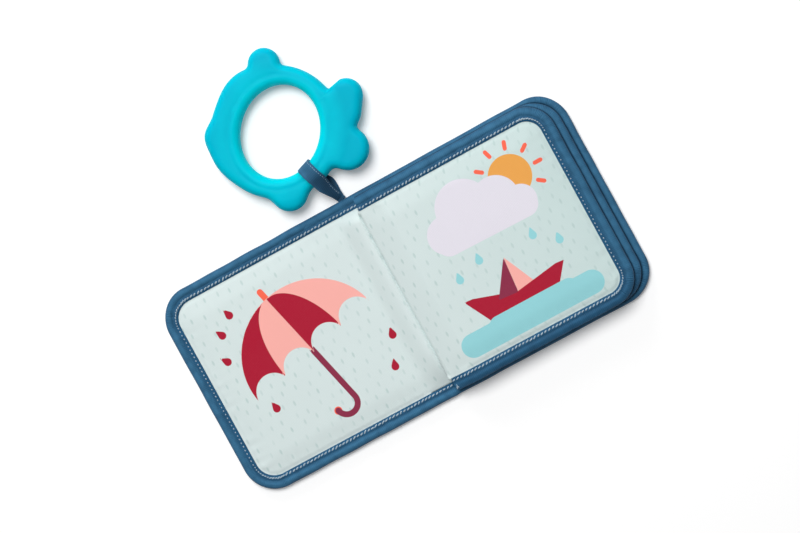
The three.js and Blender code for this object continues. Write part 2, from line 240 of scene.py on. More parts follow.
def shell(outer, inner):
    """A closed sheet between two grids of points of one shape: both faces, and a wall round the edge."""
    rows, columns = outer.shape[:2]
    count = rows * columns
    face = net(rows, columns)
    ids = np.arange(count).reshape(rows, columns)
    edge = np.concatenate([ids[0, :-1], ids[:-1, -1], ids[-1, :0:-1], ids[:0:-1, 0]])
    ahead = np.roll(edge, -1)
    wall = np.stack([ahead, edge, edge + count, ahead + count], -1)
    points = np.concatenate([outer.reshape(-1, 3), inner.reshape(-1, 3)])
    return points, np.concatenate([face, face[:, ::-1] + count, wall])


def to_row(points):
    """Book millimetres to row-frame metres."""
    return points * MM + np.array([0, PAGE_MIDDLE, 0])


def add_piece(name, points, quads, surface, slot=None, uv=None, fields=None):
    """Puts quads into a mesh at the origin. They are turned round where the volume they enclose,
    a sixth of the sum of a . (b x c) over their triangles, comes out negative."""
    a, b, c, d = (points[quads[:, k]] for k in range(4))
    if (np.cross(b, c) * a).sum() + (np.cross(c, d) * a).sum() < 0:
        quads = quads[:, ::-1]
    mesh = bpy.data.meshes.new(name)
    mesh.vertices.add(len(points))
    mesh.vertices.foreach_set("co", to_row(points).astype(np.float32).ravel())
    mesh.loops.add(quads.size)
    mesh.loops.foreach_set("vertex_index", quads.astype(np.int32).ravel())
    mesh.polygons.add(len(quads))
    mesh.polygons.foreach_set("loop_start", np.arange(0, quads.size, 4, dtype=np.int32))
    mesh.polygons.foreach_set("use_smooth", np.ones(len(quads), bool))
    if uv is not None:
        mesh.uv_layers.new(name="UVMap").data.foreach_set("uv", uv[quads.ravel()].astype(np.float32).ravel())
    for key, values in (fields or {}).items():
        mesh.attributes.new(key, "FLOAT", "POINT").data.foreach_set("value", values.astype(np.float32).ravel())
    mesh.update(calc_edges=True)
    mesh.materials.append(surface)
    piece = bpy.data.objects.new(name, mesh)
    bpy.context.scene.collection.objects.link(piece)
    return piece


# Panels

SEAM_PULL = 0.75  # how far the seam pulls cloth and tape down at the tape's lip, in mm
SEAM_PLACE, SEAM_SPREAD = 0.2, 1.3  # where that pull is strongest, past the lip, and its width
PUCKER, PUCKER_PITCH, PUCKER_REACH = 0.13, 8.5, 5.5  # height, wavelength and fading length
SLOW_SWELL, SLOW_PITCH = 0.10, 46  # a page's slow unevenness: height and wavelength


def seam_dip(bare):
    """How far the seam pulls down, at a distance past the tape's lip, in mm: a bell curve about the lip."""
    return SEAM_PULL * bump_at(bare, SEAM_PLACE, SEAM_SPREAD)


class Panel:
    """A cover or a leaf: a pad with x measured out from the fold line.

    The middle goes from the root's height to the flat height with the rise, an ease curve over
    the root's run. The half thickness is pinched at the root, sewn under the tape, and crowned
    inside it by an ease curve over the depth in from the tape.
    """

    def __init__(self, inner, reach, height, corner, flat, root=None):
        self.m = in_mm("bath_book_sizes")
        self.inner, self.reach, self.height, self.corner = inner, reach, height, corner
        self.flat, self.root = flat, root

    def rise(self, x):
        if self.root is None:
            return np.ones_like(x)
        return ease((x - self.m.root_reach) / self.m.root_run)

    def middle(self, x):
        return self.flat + 0 * x if self.root is None else mix(self.root, self.flat, self.rise(x))

    def edge_half(self, x):
        return mix(self.m.pinched / 2, self.m.sewn / 2, self.rise(x))

    def depth(self, x, y):
        """How far in from the rounded outline a point lies."""
        over_x, over_y = x - (self.reach - self.corner), np.abs(y) - (self.height / 2 - self.corner)
        around = np.hypot(np.maximum(over_x, 0), np.maximum(over_y, 0))
        return self.corner - around - np.minimum(np.maximum(over_x, over_y), 0)

    def inside(self, x, y):
        """0 at the tape's inner edge and 1 on the crown."""
        return ease((self.depth(x, y) - self.m.tape_face) / self.m.crown_run)

    def face(self, x, y):
        crowned = mix(self.m.sewn / 2, self.m.pad / 2, self.inside(x, y))
        return mix(self.m.pinched / 2, crowned, self.rise(x))

    def fore(self, y, inset):
        """Where the rounded outline, drawn in by the inset, meets a line across the page."""
        corner = self.corner - inset
        over = np.clip(np.abs(y) - (self.height / 2 - self.corner), 0, corner)
        return self.reach - self.corner + np.sqrt(corner ** 2 - over ** 2)

    def softness(self, x, y, seed):
        """The cloth's unevenness in mm: the seam's pull beside the tape, puckers that fade away from it, and a
        slow swell over the page."""
        bare = self.depth(x, y) - self.m.tape_face
        along = np.where(self.height / 2 - np.abs(y) < self.reach - x, x, y + 300)
        pucker = PUCKER * waver(along, PUCKER_PITCH, seed) * np.exp(-np.abs(bare - 2) / PUCKER_REACH)
        pull = -seam_dip(bare)
        slow = SLOW_SWELL * swell(x, y, SLOW_PITCH, seed + 2)
        return ((pucker + slow) * ease((bare + 0.6) / 3) + pull) * self.rise(x)


def panels():
    """The book's padded panels by name; both covers share one."""
    m = in_mm("bath_book_sizes")
    cover = Panel(m.spine_half, m.cover_reach, m.cover_height, m.cover_corner, m.pad / 2)
    leaf = {
        n: Panel(m.root_reach, getattr(m, f"leaf_{n}_reach"), m.leaf_height, m.leaf_corner,
                 getattr(m, f"leaf_{n}_flat"), getattr(m, f"leaf_{n}_root"))
        for n in (1, 2)
    }
    return SimpleNamespace(cover=cover, leaf_1=leaf[1], leaf_2=leaf[2])


PAGE_ROWS = 132
PAGE_COLUMNS = 128
TURN_COLUMNS = 9
CREASE_X = 0.0  # where the top leaf's page starts, behind the facing page's end
CREASE_FALL = 2.2  # from the ridge down to that end
CREASE_DEPTH = 1.2  # from the ridge down to the top leaf's page in the crease
CREASE_DIP = 1.1  # of that, how much is a narrow dip beside the facing page's end
CREASE_CLIMB = 17.7  # run of the top leaf's page up from the crease
LOWER_END, UPPER_END = 26, 9  # run of the first page's ridge down to the tape at its two ends
LIP_ROOM = 0.1  # between a tape's lip and a page that stops there


def page_rows(panel):
    """Heights up the page, one for each row of its grid, as a column."""
    half = panel.height / 2 - panel.m.sheet_inset
    return np.linspace(-half, half, PAGE_ROWS)[:, None]


def leaf_page(panel, up, meet, seed):
    """One face of a leaf, as an outer and an inner grid.

    Out from the root the face is middle(x) +- face(x, y); inwards of it the cloth turns by a quarter
    ellipse towards the height where it meets the facing page.
    """
    m = panel.m
    y = page_rows(panel)
    x = mix(panel.inner, panel.fore(y, m.sheet_inset), np.linspace(0, 1, PAGE_COLUMNS))
    y = np.broadcast_to(y, x.shape)
    free = clear_of_tape(panel, y)
    z = panel.middle(x) + up * (panel.face(x, y) + panel.softness(x, y, seed))
    turn = np.linspace(np.pi / 2, 0, TURN_COLUMNS, endpoint=False)
    root_x = panel.inner - 0.5 * free[:, :1] * np.sin(turn)
    root_z = z[:, :1] + free[:, :1] * (meet - z[:, :1]) * (1 - np.cos(turn))
    root_y = np.broadcast_to(y[:, :1], root_x.shape)
    outer = np.stack([np.hstack([root_x, x]), np.hstack([root_y, y]), np.hstack([root_z, z])], -1)
    return outer, outer - np.array([0, 0, up * m.sheet])


def cloth_uv(outer):
    """A page's UV in mm, the same for both its faces: the length of cloth across it and the height up it."""
    step = np.diff(outer, axis=1)
    run = np.cumsum(np.sign(step[..., 0].sum()) * np.hypot(step[..., 0], step[..., 2]), axis=1)
    across = outer[:, :1, 0] + np.hstack([0 * run[:, :1], run])
    return np.tile(np.stack([across, outer[..., 1]], -1).reshape(-1, 2), (2, 1))


def clear_of_tape(panel, y):
    """1 over the open page and 0 under the tape at its top and bottom."""
    return 1 - ease((np.abs(y) - (panel.height / 2 - panel.m.tape_face - 4)) / 4)


def open_climb(panel, x, y):
    """Height of the top leaf's upper face: out from the crease it climbs as 1 - (1 - t)^1.25 over the climb's
    run to the crown, with a narrow bell-shaped dip into the crease."""
    m = panel.m
    t = np.clip((x - CREASE_X) / CREASE_CLIMB, 0, 1)
    crown = panel.flat + mix(m.sewn / 2, m.pad / 2, panel.inside(x, y))
    foot = m.ridge - CREASE_DEPTH + CREASE_DIP
    return mix(foot, crown, 1 - (1 - t) ** 1.25) - CREASE_DIP * bump_at(x, CREASE_X, 0.9)


def open_page(panel, seed):
    """The top leaf's upper face, which shows, as an outer and an inner grid.

    It climbs out of the crease; under the tape it keeps to the leaf's own bend, and starts a little further out.
    """
    m = panel.m
    y = page_rows(panel)
    start = mix(CREASE_X, panel.inner + 0.3, ease(np.abs(y) - (panel.height / 2 - m.tape_face - 0.3)))
    x = mix(start, panel.fore(y, m.sheet_inset), np.linspace(0, 1, PAGE_COLUMNS + TURN_COLUMNS) ** 1.15)
    y = np.broadcast_to(y, x.shape)
    under = panel.middle(x) + panel.face(x, y)
    z = mix(under, open_climb(panel, x, y), clear_of_tape(panel, y))
    z = z + panel.softness(x, y, seed) * ease(x / CREASE_CLIMB)
    outer = np.stack([x, y, z], -1)
    return outer, outer - np.array([0, 0, m.sheet])


def front_page(panel, seed):
    """The first spread's left page, on the front cover, as an outer and an inner grid.

    It follows the cover's pad, climbs by an ease curve to the ridge beside the fold line, and turns down
    there by a quarter ellipse. Where it climbs it is only as tall as the tape leaves free, and it comes
    down to the tape at both ends by a quarter sine, the lower one longer.
    """
    m = panel.m
    y = page_rows(panel)
    ridge_x, fall_x, climb_x = 2.2, 2.6, 17.0
    turn = np.linspace(0, np.pi / 2, TURN_COLUMNS + 1)[1:]
    x = mix(panel.fore(y, m.sheet_inset), ridge_x, np.linspace(0, 1, PAGE_COLUMNS) ** 0.9)
    x = np.hstack([x, ridge_x - fall_x * np.sin(turn) + 0 * y])
    fall = np.concatenate([np.zeros(PAGE_COLUMNS), CREASE_FALL * (1 - np.cos(turn))])
    tall, open_half = panel.height / 2 - m.sheet_inset, panel.height / 2 - m.tape_face
    y = y * mix(tall, open_half - LIP_ROOM, ease((climb_x + 4 - x) / 7)) / tall
    ends = np.sin(np.pi / 2 * np.clip((open_half - np.abs(y)) / np.where(y < 0, LOWER_END, UPPER_END), 0, 1))
    climb = ease((climb_x - x) / (climb_x - ridge_x))
    level = panel.middle(x) + panel.face(x, y) + panel.softness(x, y, seed) * (1 - climb)
    outer = np.stack([-x, y, mix(level, m.ridge - fall, climb * ends)], -1)
    return outer, outer - np.array([0, 0, m.sheet])


def back_page(panel, seed):
    """The last spread's right page, on the back cover: its pad's face, drawn on level to the fold line."""
    m = panel.m
    y = page_rows(panel)
    x = mix(0.4, panel.fore(y, m.sheet_inset), np.linspace(0, 1, PAGE_COLUMNS))
    y = np.broadcast_to(y, x.shape)
    z = panel.middle(x) + panel.face(x, y) + panel.softness(x, y, seed) * ease((x - 4) / 8)
    tall = panel.height / 2 - m.sheet_inset
    free = mix(tall, panel.height / 2 - m.tape_face - LIP_ROOM, ease((14 - x) / 8))
    outer = np.stack([x, y * free / tall, z], -1)
    return outer, outer - np.array([0, 0, m.sheet])


# Printed motifs, as signed distances in mm on the page

def disc(x, y, cx, cy, radius):
    """Distance to a disc."""
    return np.hypot(x - cx, y - cy) - radius


def rod(x, y, ax, ay, bx, by, radius):
    """Distance to a round-ended bar from a to b."""
    dx, dy = bx - ax, by - ay
    t = np.clip(((x - ax) * dx + (y - ay) * dy) / (dx * dx + dy * dy), 0, 1)
    return np.hypot(x - ax - t * dx, y - ay - t * dy) - radius


def facet(x, y, *corners):
    """Distance to a convex polygon with its corners counter-clockwise: the largest distance over its sides."""
    sides = []
    for (ax, ay), (bx, by) in zip(corners, corners[1:] + corners[:1]):
        run = math.hypot(bx - ax, by - ay)
        sides.append(((x - ax) * (by - ay) - (y - ay) * (bx - ax)) / run)
    return np.max(sides, axis=0)


def drop(x, y, cx, cy, turn, radius=2.5, tall=5.2):
    """Distance to a rain drop: a disc drawn out to a point along its own axis, turned by an angle."""
    p, q = spun(x, y, cx, cy, turn)
    p = np.abs(p)
    b = (radius - 0.15) / tall
    a = math.sqrt(1 - b * b)
    k = a * q - b * p
    side = a * p + b * q - radius
    return np.where(k < 0, np.hypot(p, q) - radius, np.where(k > a * tall, np.hypot(p, q - tall) - 0.15, side))


def spun(x, y, cx, cy, degrees):
    """x and y in the axes of a motif that stands at a point, turned by an angle."""
    turn = math.radians(degrees)
    x, y = x - cx, y - cy
    return x * math.cos(turn) + y * math.sin(turn), y * math.cos(turn) - x * math.sin(turn)


def nearest(*fields):
    """The union of motifs: the least of their distances."""
    return np.min(fields, axis=0)


def umbrella_print(x, y):
    """A leaning umbrella in the rain: a scalloped half disc cut into gores, a shaft, a hook and drops."""
    p, q = spun(x, y, -66, -4, 14)
    radius, gore = 47, 47 / 4
    scallop = nearest(*(disc(p, q, k * gore, -1.5, gore * 0.99) for k in (-3, -1, 1, 3)))
    canopy = np.max([np.hypot(p, q * 1.06) - radius, -q, -scallop], axis=0)
    chord = np.sqrt(np.clip(radius ** 2 - (q * 1.06) ** 2, 1, None))
    w = p / chord
    gores = np.minimum(np.abs(w + 0.75), np.abs(w - 0.25)) - 0.25
    hook = np.maximum(np.abs(np.hypot(p + 7, q + 37) - 7) - 1.9, q + 37)
    handle = nearest(rod(p, q, 0, 2, 0, -37, 1.9), hook, disc(p, q, -14, -37, 1.9))
    drops = nearest(*(drop(x, y, *place) for place in (
        (-112, 32, 30), (-102, 41, 20), (-117, 16, 38), (-18, -18, -8), (-26, -36, -14), (-104, -24, 10))))
    return {
        "salmon": canopy,
        "crimson": nearest(np.maximum(canopy, gores * chord), drops),
        "burgundy": np.maximum(handle, -canopy),
        "coral": nearest(rod(p, q, 0, 43, 0, 50, 2.0), disc(p, q, -14, -37, 2.6)),
    }


def boat_print(x, y):
    """A folded paper boat on a pool under a cloud, with the sun behind the cloud."""
    sun_x, sun_y = 93, 33
    ray = np.arctan2(y - sun_y, x - sun_x)
    ray = ray - np.round(ray / (np.pi / 5)) * (np.pi / 5)
    out = np.hypot(x - sun_x, y - sun_y)
    rays = rod(out * np.cos(ray), out * np.sin(ray), 17, 0, 21, 0, 1.3)
    cloud = nearest(
        disc(x, y, 42, 20, 12), disc(x, y, 59, 30, 17.5), disc(x, y, 79, 25, 14.5), disc(x, y, 92, 17, 10),
        rod(x, y, 41, 15, 93, 14, 8))
    p, q = spun(x, y, 64, -29, -5)
    sheer = facet(p, q, (-40, 8), (0, -1.5), (40, 8))
    hull = np.maximum(facet(p, q, (-33, 5), (-20, -15), (20, -15), (33, 5)), -sheer)
    sail = facet(p, q, (-13, -2), (13, -2), (0, 21))
    flap = np.maximum(sail, -p)
    pool = nearest(rod(x, y, 24, -47, 106, -47, 7.5), rod(x, y, 44, -43.5, 92, -43.5, 6))
    rain = nearest(*(drop(x, y, *place, -6) for place in ((52, -3), (36, -8), (88, -5), (101, -15))))
    return {
        "amber": disc(x, y, sun_x, sun_y, 13.5),
        "coral": rays,
        "lavender": cloud,
        "crimson": hull,
        "burgundy": np.maximum(sail, -flap + 0.01),
        "salmon": flap,
        "turquoise": nearest(pool, rain),
    }


def ball_print(x, y):
    """A beach ball: a disc with gores of four colours and a round cap."""
    p, q = spun(x, y, 66, 0, 25)
    ball = np.hypot(p, q) - 40
    chord = np.sqrt(np.clip(1600 - q * q, 1, None))
    w = p / chord
    return {
        "lavender": ball,
        "salmon": np.maximum(ball, (np.abs(w + 0.72) - 0.3) * chord),
        "crimson": np.maximum(ball, (np.abs(w) - 0.3) * chord),
        "turquoise": np.maximum(ball, (np.abs(w - 0.72) - 0.2) * chord),
    }


def kite_print(x, y):
    """A kite of four facets with a tail of bows."""
    p, q = spun(x, y, 76, 12, -24)
    left = facet(p, q, (0, 36), (-25, 8), (0, 8))
    right = facet(p, q, (0, 8), (25, 8), (0, 36))
    low_left = facet(p, q, (-25, 8), (0, -38), (0, 8))
    low_right = facet(p, q, (0, -38), (25, 8), (0, 8))
    tail_x = 5 * np.sin(q / 7)
    tail = np.maximum(np.abs(p - tail_x) - 0.8, np.maximum(q + 38, -q - 74))
    knots = [(5 * math.sin(k / 7), k) for k in (-48, -60)]
    bows = nearest(*(rod(p, q, side - 5, k - 2, side + 5, k + 2, 2) for side, k in knots))
    return {
        "crimson": nearest(left, bows),
        "salmon": nearest(right, low_left),
        "coral": low_right,
        "burgundy": tail,
    }


def flower_print(x, y):
    """A flower: eight petals round a disc, on a stalk with two leaves."""
    turn = np.arctan2(y - 14, x - 66)
    turn = turn - np.round(turn / (np.pi / 4)) * (np.pi / 4)
    out = np.hypot(x - 66, y - 14)
    petals = rod(out * np.cos(turn), out * np.sin(turn), 14, 0, 27, 0, 7.4)
    leaves = nearest(rod(x, y, 66, -42, 84, -32, 4.5), rod(x, y, 66, -50, 46, -39, 4.5))
    return {
        "lavender": petals,
        "turquoise": np.maximum(nearest(rod(x, y, 66, -10, 66, -56, 1.7), leaves), 15 - out),
        "crimson": disc(x, y, 66, 14, 12),
    }


def hill_print(x, y):
    """Low sun over rolling hills."""
    far = np.maximum(y + 12 - 9 * np.sin(x / 19), disc(x, y, 70, -20, 66))
    near = np.maximum(y + 34 - 7 * np.sin(x / 15 + 2), disc(x, y, 70, -20, 66))
    return {"amber": disc(x, y, 84, 18, 22), "salmon": far, "crimson": near}


def ink_fields(points, motif):
    """Each ink's signed distance at each point of a page, in mm, held within the far distance."""
    found = motif(points[:, 0], points[:, 1])
    bare = np.full(len(points), NO_INK)
    return {f"ink_{ink}": np.clip(found.get(ink, bare), -NO_INK, NO_INK) for ink in INKS}


# Tape

TABLE = -0.05  # a tape that lies on the table is pressed flat there, in mm
ROLL = 2.8  # depth of the roll's top in from the tape's outer edge, in mm
GROOVE = 5.0  # depth of the groove between the roll and the stitched shelf
PLUMP = 1.15  # how far the roll stands over the sheet's face
SUNK = 1.1  # how far the groove lies under the roll's top
SHELF = 0.3  # how far the stitched shelf lies over the groove
LEAF_TAPER = 1.3  # how much thinner a leaf's roll is, on each face, at its outer edge than at the groove
LIP_RISE, LIP_RUN = 0.3, 0.7  # the lip's height over the sheet's face, and the run down to it
DENT, DENT_PITCH = 0.13, 19  # long dents along the tape: height and wavelength
NICK, NICK_PITCH = 0.1, 7.5  # short ones
RIPPLE, RIPPLE_PITCH = 0.14, 1.25  # gathers round a corner
SWAY, SWAY_PITCH = 0.09, 34  # how the tape's edge wanders in and out
LOWER_EDGE_SHADE = 0.85  # painted shade: how much of the crown's painted highlight a leaf's lower tape loses, as it faces away from the light
SPINE_MIDDLE, SPINE_EDGE = 3.0, 0.95  # the cover's tape at the fold line: its middle's height and half thickness


class TapeLine:
    """The line of a tape's outer edge, with what changes along it.

    x, y and inward are its place and the way into the panel, middle and edge the height of the panel's middle and
    its half thickness, gather how far round a corner it is, pulled how much the seam pulls its lip down, and the
    lower-edge share is 1 along a leaf's lower edge, which faces away from the light and is painted with less of the
    crown's highlight, as painted shade. The taper thins a leaf's roll; s is the length along the line and total its
    whole length.
    """

    def __init__(self, panel, closed):
        self.taper = 0.0 if closed else LEAF_TAPER
        half, corner = panel.height / 2, panel.corner
        near, far = half - corner, panel.reach - corner
        bend = np.linspace(0, np.pi / 2, 150)
        start = 0.0 if closed else panel.inner
        run = np.concatenate([np.linspace(start, 18, 30, endpoint=False), np.linspace(18, far, 112)])[:-1]
        rise = np.linspace(-near, near, 108)[1:-1]

        def mirrored(parts, sign):
            """Lower run, corner and fore-edge, then corner and run again, backwards, for the upper edge."""
            return np.concatenate(parts + [sign * parts[1][::-1], sign * parts[0][::-1]])

        x = mirrored([run, far + corner * np.sin(bend), np.full(rise.size, panel.reach)], 1)
        y = mirrored([np.full(run.size, -half), -near - corner * np.cos(bend), rise], -1)
        turn = mirrored([np.full(run.size, np.pi / 2), np.pi / 2 + bend, np.full(rise.size, np.pi)], -1)
        gather = mirrored([np.zeros(run.size), np.sin(2 * bend) ** 0.5, np.zeros(rise.size)], 1)
        inward = np.stack([np.cos(turn), np.sin(turn)], -1)
        middle, edge, pulled = panel.middle(x), panel.edge_half(x), panel.rise(x)
        if closed:
            pulled = ease((x - 4) / 11)
            middle, edge = mix(SPINE_MIDDLE, middle, pulled), mix(SPINE_EDGE, edge, pulled)
            back = slice(None, 0, -1)
            x, y = np.concatenate([x[:-1], -x[back]]), np.concatenate([y[:-1], y[back]])
            inward = np.concatenate([inward[:-1], inward[back] * np.array([-1, 1])])
            along = (middle, edge, gather, pulled)
            middle, edge, gather, pulled = (np.concatenate([v[:-1], v[back]]) for v in along)
        self.x, self.y, self.inward, self.middle, self.edge, self.gather = x, y, inward, middle, edge, gather
        self.pulled, self.closed = pulled, closed
        # Painted shade: a leaf's lower edge faces away from the light.
        self.sheltered = (0.0 if closed else 1.0) * ease(inward[:, 1])
        ahead = np.stack([np.roll(x, -1) - x, np.roll(y, -1) - y], -1)
        steps = np.hypot(*ahead.T)
        self.s = np.concatenate([[0], np.cumsum(steps[:-1])])
        self.total = self.s[-1] + (steps[-1] if closed else 0)

    def read(self, values, s):
        """A value along the line at given lengths."""
        return np.interp(s, self.s, values)


def tape_height(d, edge, taper):
    """The tape's outer face over the middle, at a depth d in from its edge.

    A quarter ellipse up to the roll's top, a quarter cosine down into the groove, and an ease curve up to the
    shelf; the top falls off evenly by the taper from the groove to the edge.
    """
    top = edge + PLUMP - taper * np.clip(1 - d / GROOVE, 0, 1)
    roll = top * np.sqrt(np.clip(1 - ((ROLL - d) / ROLL) ** 2, 0, 1))
    down = np.clip((d - ROLL) / (GROOVE - ROLL), 0, 1)
    beyond = top - SUNK * (1 - np.cos(np.pi / 2 * down)) + SHELF * ease((d - GROOVE) / 1.3)
    return np.where(d < ROLL, roll, beyond)


def tape_shell(line, m, seed, above):
    """A tape folded over an edge: its section carried along the line, with its length and girth as UV in mm,
    its depth in from the edge, painted shade where the leaf above, if there is one, covers its upper face, and how
    much of the crown's wear and painted highlight it gets.

    The section runs from the upper lip round the fold to the lower lip and back along the inside. Across
    its face it swells and dents a little along its length, and gathers in short ripples round the corners.
    """
    fold = ROLL * (1 - np.cos(np.linspace(0, np.pi / 2, 13)))
    face = np.linspace(ROLL, m.tape_face, 23)[1:]
    depth = np.concatenate([face[::-1], fold[::-1]])
    depth = np.concatenate([depth, depth[-2::-1]])
    side = np.sign(np.arange(depth.size) - depth.size // 2) * -1.0
    inner_depth = mix(m.tape, m.tape_face, depth / m.tape_face)
    edge, s = line.edge[:, None], line.s[:, None]
    outer = tape_height(depth, edge, line.taper)
    lip_end = ease((m.tape_face - depth) / LIP_RUN)
    dip = seam_dip(depth - m.tape_face) * line.pulled[:, None] * ((side > 0) | (not line.closed))
    outer = mix(edge + LIP_RISE, outer, lip_end) - dip
    under = tape_height(np.clip(depth - m.tape, 0, None), edge, line.taper) - m.tape
    within = np.maximum(under, edge + 0.05) - dip
    within = np.where(inner_depth < ROLL, np.minimum(within, outer), within) * np.abs(side)
    dents = DENT * waver(line.s, DENT_PITCH, seed) + NICK * waver(line.s, NICK_PITCH, seed + 1)
    phase = 2 * np.pi * line.s / RIPPLE_PITCH + 1.4 * waver(line.s, 9, seed + 2)
    ripple = RIPPLE * line.gather * np.sin(phase)
    body = ease(depth / 1.2) * ease((m.stitch_line + 0.4 - depth) / 2.2)
    outer = outer + (dents * mix(1.0, 0.35, line.gather) + ripple)[:, None] * body
    sway = (SWAY * waver(line.s, SWAY_PITCH, seed + 3))[:, None] * ease((m.stitch_line - depth) / 4)
    depth_out = depth - sway

    def placed(d, h):
        shift = line.inward[:, None, :] * (d + 0 * h)[..., None]
        xy = np.stack([line.x, line.y], -1)[:, None, :] + shift
        return np.concatenate([xy, (line.middle[:, None] + side * h)[..., None]], -1)

    ring = np.concatenate([placed(depth_out, outer), placed(inner_depth, within)[:, ::-1]], 1)
    stations, count = ring.shape[:2]
    quads = net(stations, count, line.closed, True)
    if not line.closed:
        k = np.arange(depth.size - 1)
        cap = np.stack([k, k + 1, count - 2 - k, count - 1 - k], -1)
        quads = np.concatenate([quads, cap, cap[:, ::-1] + (stations - 1) * count])
    middle_row = ring[stations // 3]
    girth = np.concatenate([[0], np.cumsum(np.linalg.norm(np.diff(middle_row, axis=0), axis=1))])
    uv = np.stack(np.broadcast_arrays(s, girth), -1).reshape(-1, 2)
    depths = np.broadcast_to(np.concatenate([depth, depth[::-1]]), (stations, count))
    points = ring.reshape(-1, 3)
    points[:, 2] = np.maximum(points[:, 2], TABLE)
    # Painted shade on the upper face where the leaf above covers it.
    tucked = np.zeros(len(points))
    if above is not None:
        upper = np.concatenate([side, side[::-1]]) > 0
        covered = ease(above.depth(points[:, 0], points[:, 1]) + 1.2)
        tucked = covered * (points[:, 0] > 2) * np.tile(upper, stations)
    # Less of the crown's wear and painted highlight on a leaf's lower edge, as painted shade.
    worn = np.repeat(1 - LOWER_EDGE_SHADE * line.sheltered, count)
    return points, quads, uv, {"depth": depths.reshape(-1), "tucked": tucked, "worn": worn}


STITCH_RINGS = np.array([-1.0, -0.72, 0.0, 0.72, 1.0])
STITCH_GIRTH = np.array([0.4, 0.86, 1.0, 0.86, 0.4])
STITCH_SIDES = 6
# Along top and bottom, and up the fore-edge: share of the visible length, share of the thread, lean in degrees
STITCH_RUN, STITCH_THICK, STITCH_LEAN = (1.32, 0.56), (1.5, 1.05), (26, 10)


def thread_bits(centre, along, across, up, run, thick):
    """Short rounded stitches: rings of points along each stitch, sinking a little at both ends."""
    around = np.arange(STITCH_SIDES) * 2 * np.pi / STITCH_SIDES
    place = np.repeat(STITCH_RINGS, STITCH_SIDES)
    thick = np.broadcast_to(thick, len(centre))[:, None]
    girth = np.repeat(STITCH_GIRTH / 2, STITCH_SIDES) * thick
    w = girth * np.tile(np.cos(around), STITCH_RINGS.size)
    h = girth * np.tile(np.sin(around), STITCH_RINGS.size) - thick * 0.55 * place ** 2
    a = place * run[:, None] / 2
    points = sum(far[..., None] * way[:, None] for far, way in ((a, along), (w, across), (h, up))) + centre[:, None]
    count = STITCH_RINGS.size * STITCH_SIDES
    body = net(STITCH_RINGS.size, STITCH_SIDES, False, True)
    cap = np.array([[0, 1, 2, 3], [0, 3, 4, 5]])
    one = np.concatenate([body, cap[:, ::-1], cap + count - STITCH_SIDES])
    quads = (one[None] + np.arange(len(centre))[:, None, None] * count).reshape(-1, 4)
    return points.reshape(-1, 3), quads


def topstitching(line, m, seed):
    """Stitches along the stitch line, on the upper and the lower face of a tape. Along top and bottom they
    are longer and thicker and lean more; up the fore-edge they are short, like dots."""
    draw = np.random.default_rng(seed)
    count = int(line.total / m.stitch_pitch)
    s = (np.arange(count) + 0.5) * line.total / count + draw.uniform(-0.12, 0.12, count)
    inward = np.stack([line.read(line.inward[:, k], s) for k in (0, 1)], -1)
    inward /= np.linalg.norm(inward, axis=1)[:, None]
    x, y, middle, edge = (line.read(v, s) for v in (line.x, line.y, line.middle, line.edge))
    depth = m.stitch_line + draw.uniform(-0.14, 0.14, count)
    height = tape_height(depth, edge, line.taper) + 0.1
    fore = inward[:, 0] ** 2
    run = m.stitch_length * mix(*STITCH_RUN, fore) * draw.uniform(0.8, 1.15, count)
    lean = np.radians(mix(*STITCH_LEAN, fore) + draw.normal(0, 7, count))[:, None]
    flat = np.zeros((count, 1))
    across = np.hstack([inward, flat])
    ahead = np.stack([inward[:, 1], -inward[:, 0], flat[:, 0]], -1)
    along = ahead * np.cos(lean) + across * np.sin(lean)
    aside = across * np.cos(lean) - ahead * np.sin(lean)
    found = []
    for side in (1.0, -1.0):
        centre = np.stack([x + inward[:, 0] * depth, y + inward[:, 1] * depth, middle + side * height], -1)
        up = np.broadcast_to(np.array([0, 0, side]), centre.shape)
        found.append(thread_bits(centre, along, aside * side, up, run, m.thread * mix(*STITCH_THICK, fore)))
    (upper, quads), (lower, more) = found
    lower[:, 2] = np.maximum(lower[:, 2], TABLE - 0.1)
    return np.concatenate([upper, lower]), np.concatenate([quads, more + len(upper)])


def end_tack(line, m):
    """Three stitches side by side across the roll at the tape's lower gutter end, where the seam is made fast."""
    x = line.x[0] + np.array([0.7, 1.2, 1.8])
    y = line.y[0] + np.array([2.2, 2.9, 2.3])
    edge, middle = line.edge[0], line.middle[0]
    z = middle + tape_height(y - line.y[0], edge, line.taper) + 0.1
    ways = [np.broadcast_to(np.array(way), (3, 3)) for way in ((0.2, 0.98, 0), (0.98, -0.2, 0), (0, 0, 1.0))]
    return thread_bits(np.stack([x, y, z], -1), *ways, np.array([2.4, 3.0, 2.0]), 1.2 * m.thread)


# Teething ring and loop

LOBES = (  # direction in degrees, distance out from the body's edge, radius, share of the neck blend
    (178, -4.6, 8.5, 1),
    (193, -21.9, 23.7, 1),
    (119.5, -19.4, 21.3, 1),
    (94, 1.4, 9.9, 0.7),
    (-84.8, -3, 11.5, 1),
    (21, 7.8, 10.1, 0.4),
    (11.2, 0.2, 13.2, 1),
    (-19.8, 4.1, 13.4, 1),
)
HOLE = SimpleNamespace(x=2.1, y=-0.2, long=29.1, short=24.7, lean=math.radians(21))
RING_TURN = math.radians(-22)
GRIP_ANGLE = math.radians(-55.8)
LOOP_HEADING = math.radians(109)
RING_STATIONS = 1000
RING_STEPS = 34
RIB_INSET = 10.0  # how far in from the outline a rib's angle is read, in mm
RIB_EVENING = 7.0  # length over which these angles are evened out, in mm


def fish_distance(x, y, r):
    """Signed distance to the fish's outline: discs joined one by one, each hollow filled by a soft minimum."""
    distance = np.hypot(x, y) - r.body_radius
    for turn, out, radius, part in LOBES:
        reach, blend = r.body_radius + out, part * r.neck_blend
        other = disc(x, y, reach * math.cos(math.radians(turn)), reach * math.sin(math.radians(turn)), radius)
        share = np.clip(blend - np.abs(distance - other), 0, None) / blend
        distance = np.minimum(distance, other) - share * share * blend / 4
    return distance


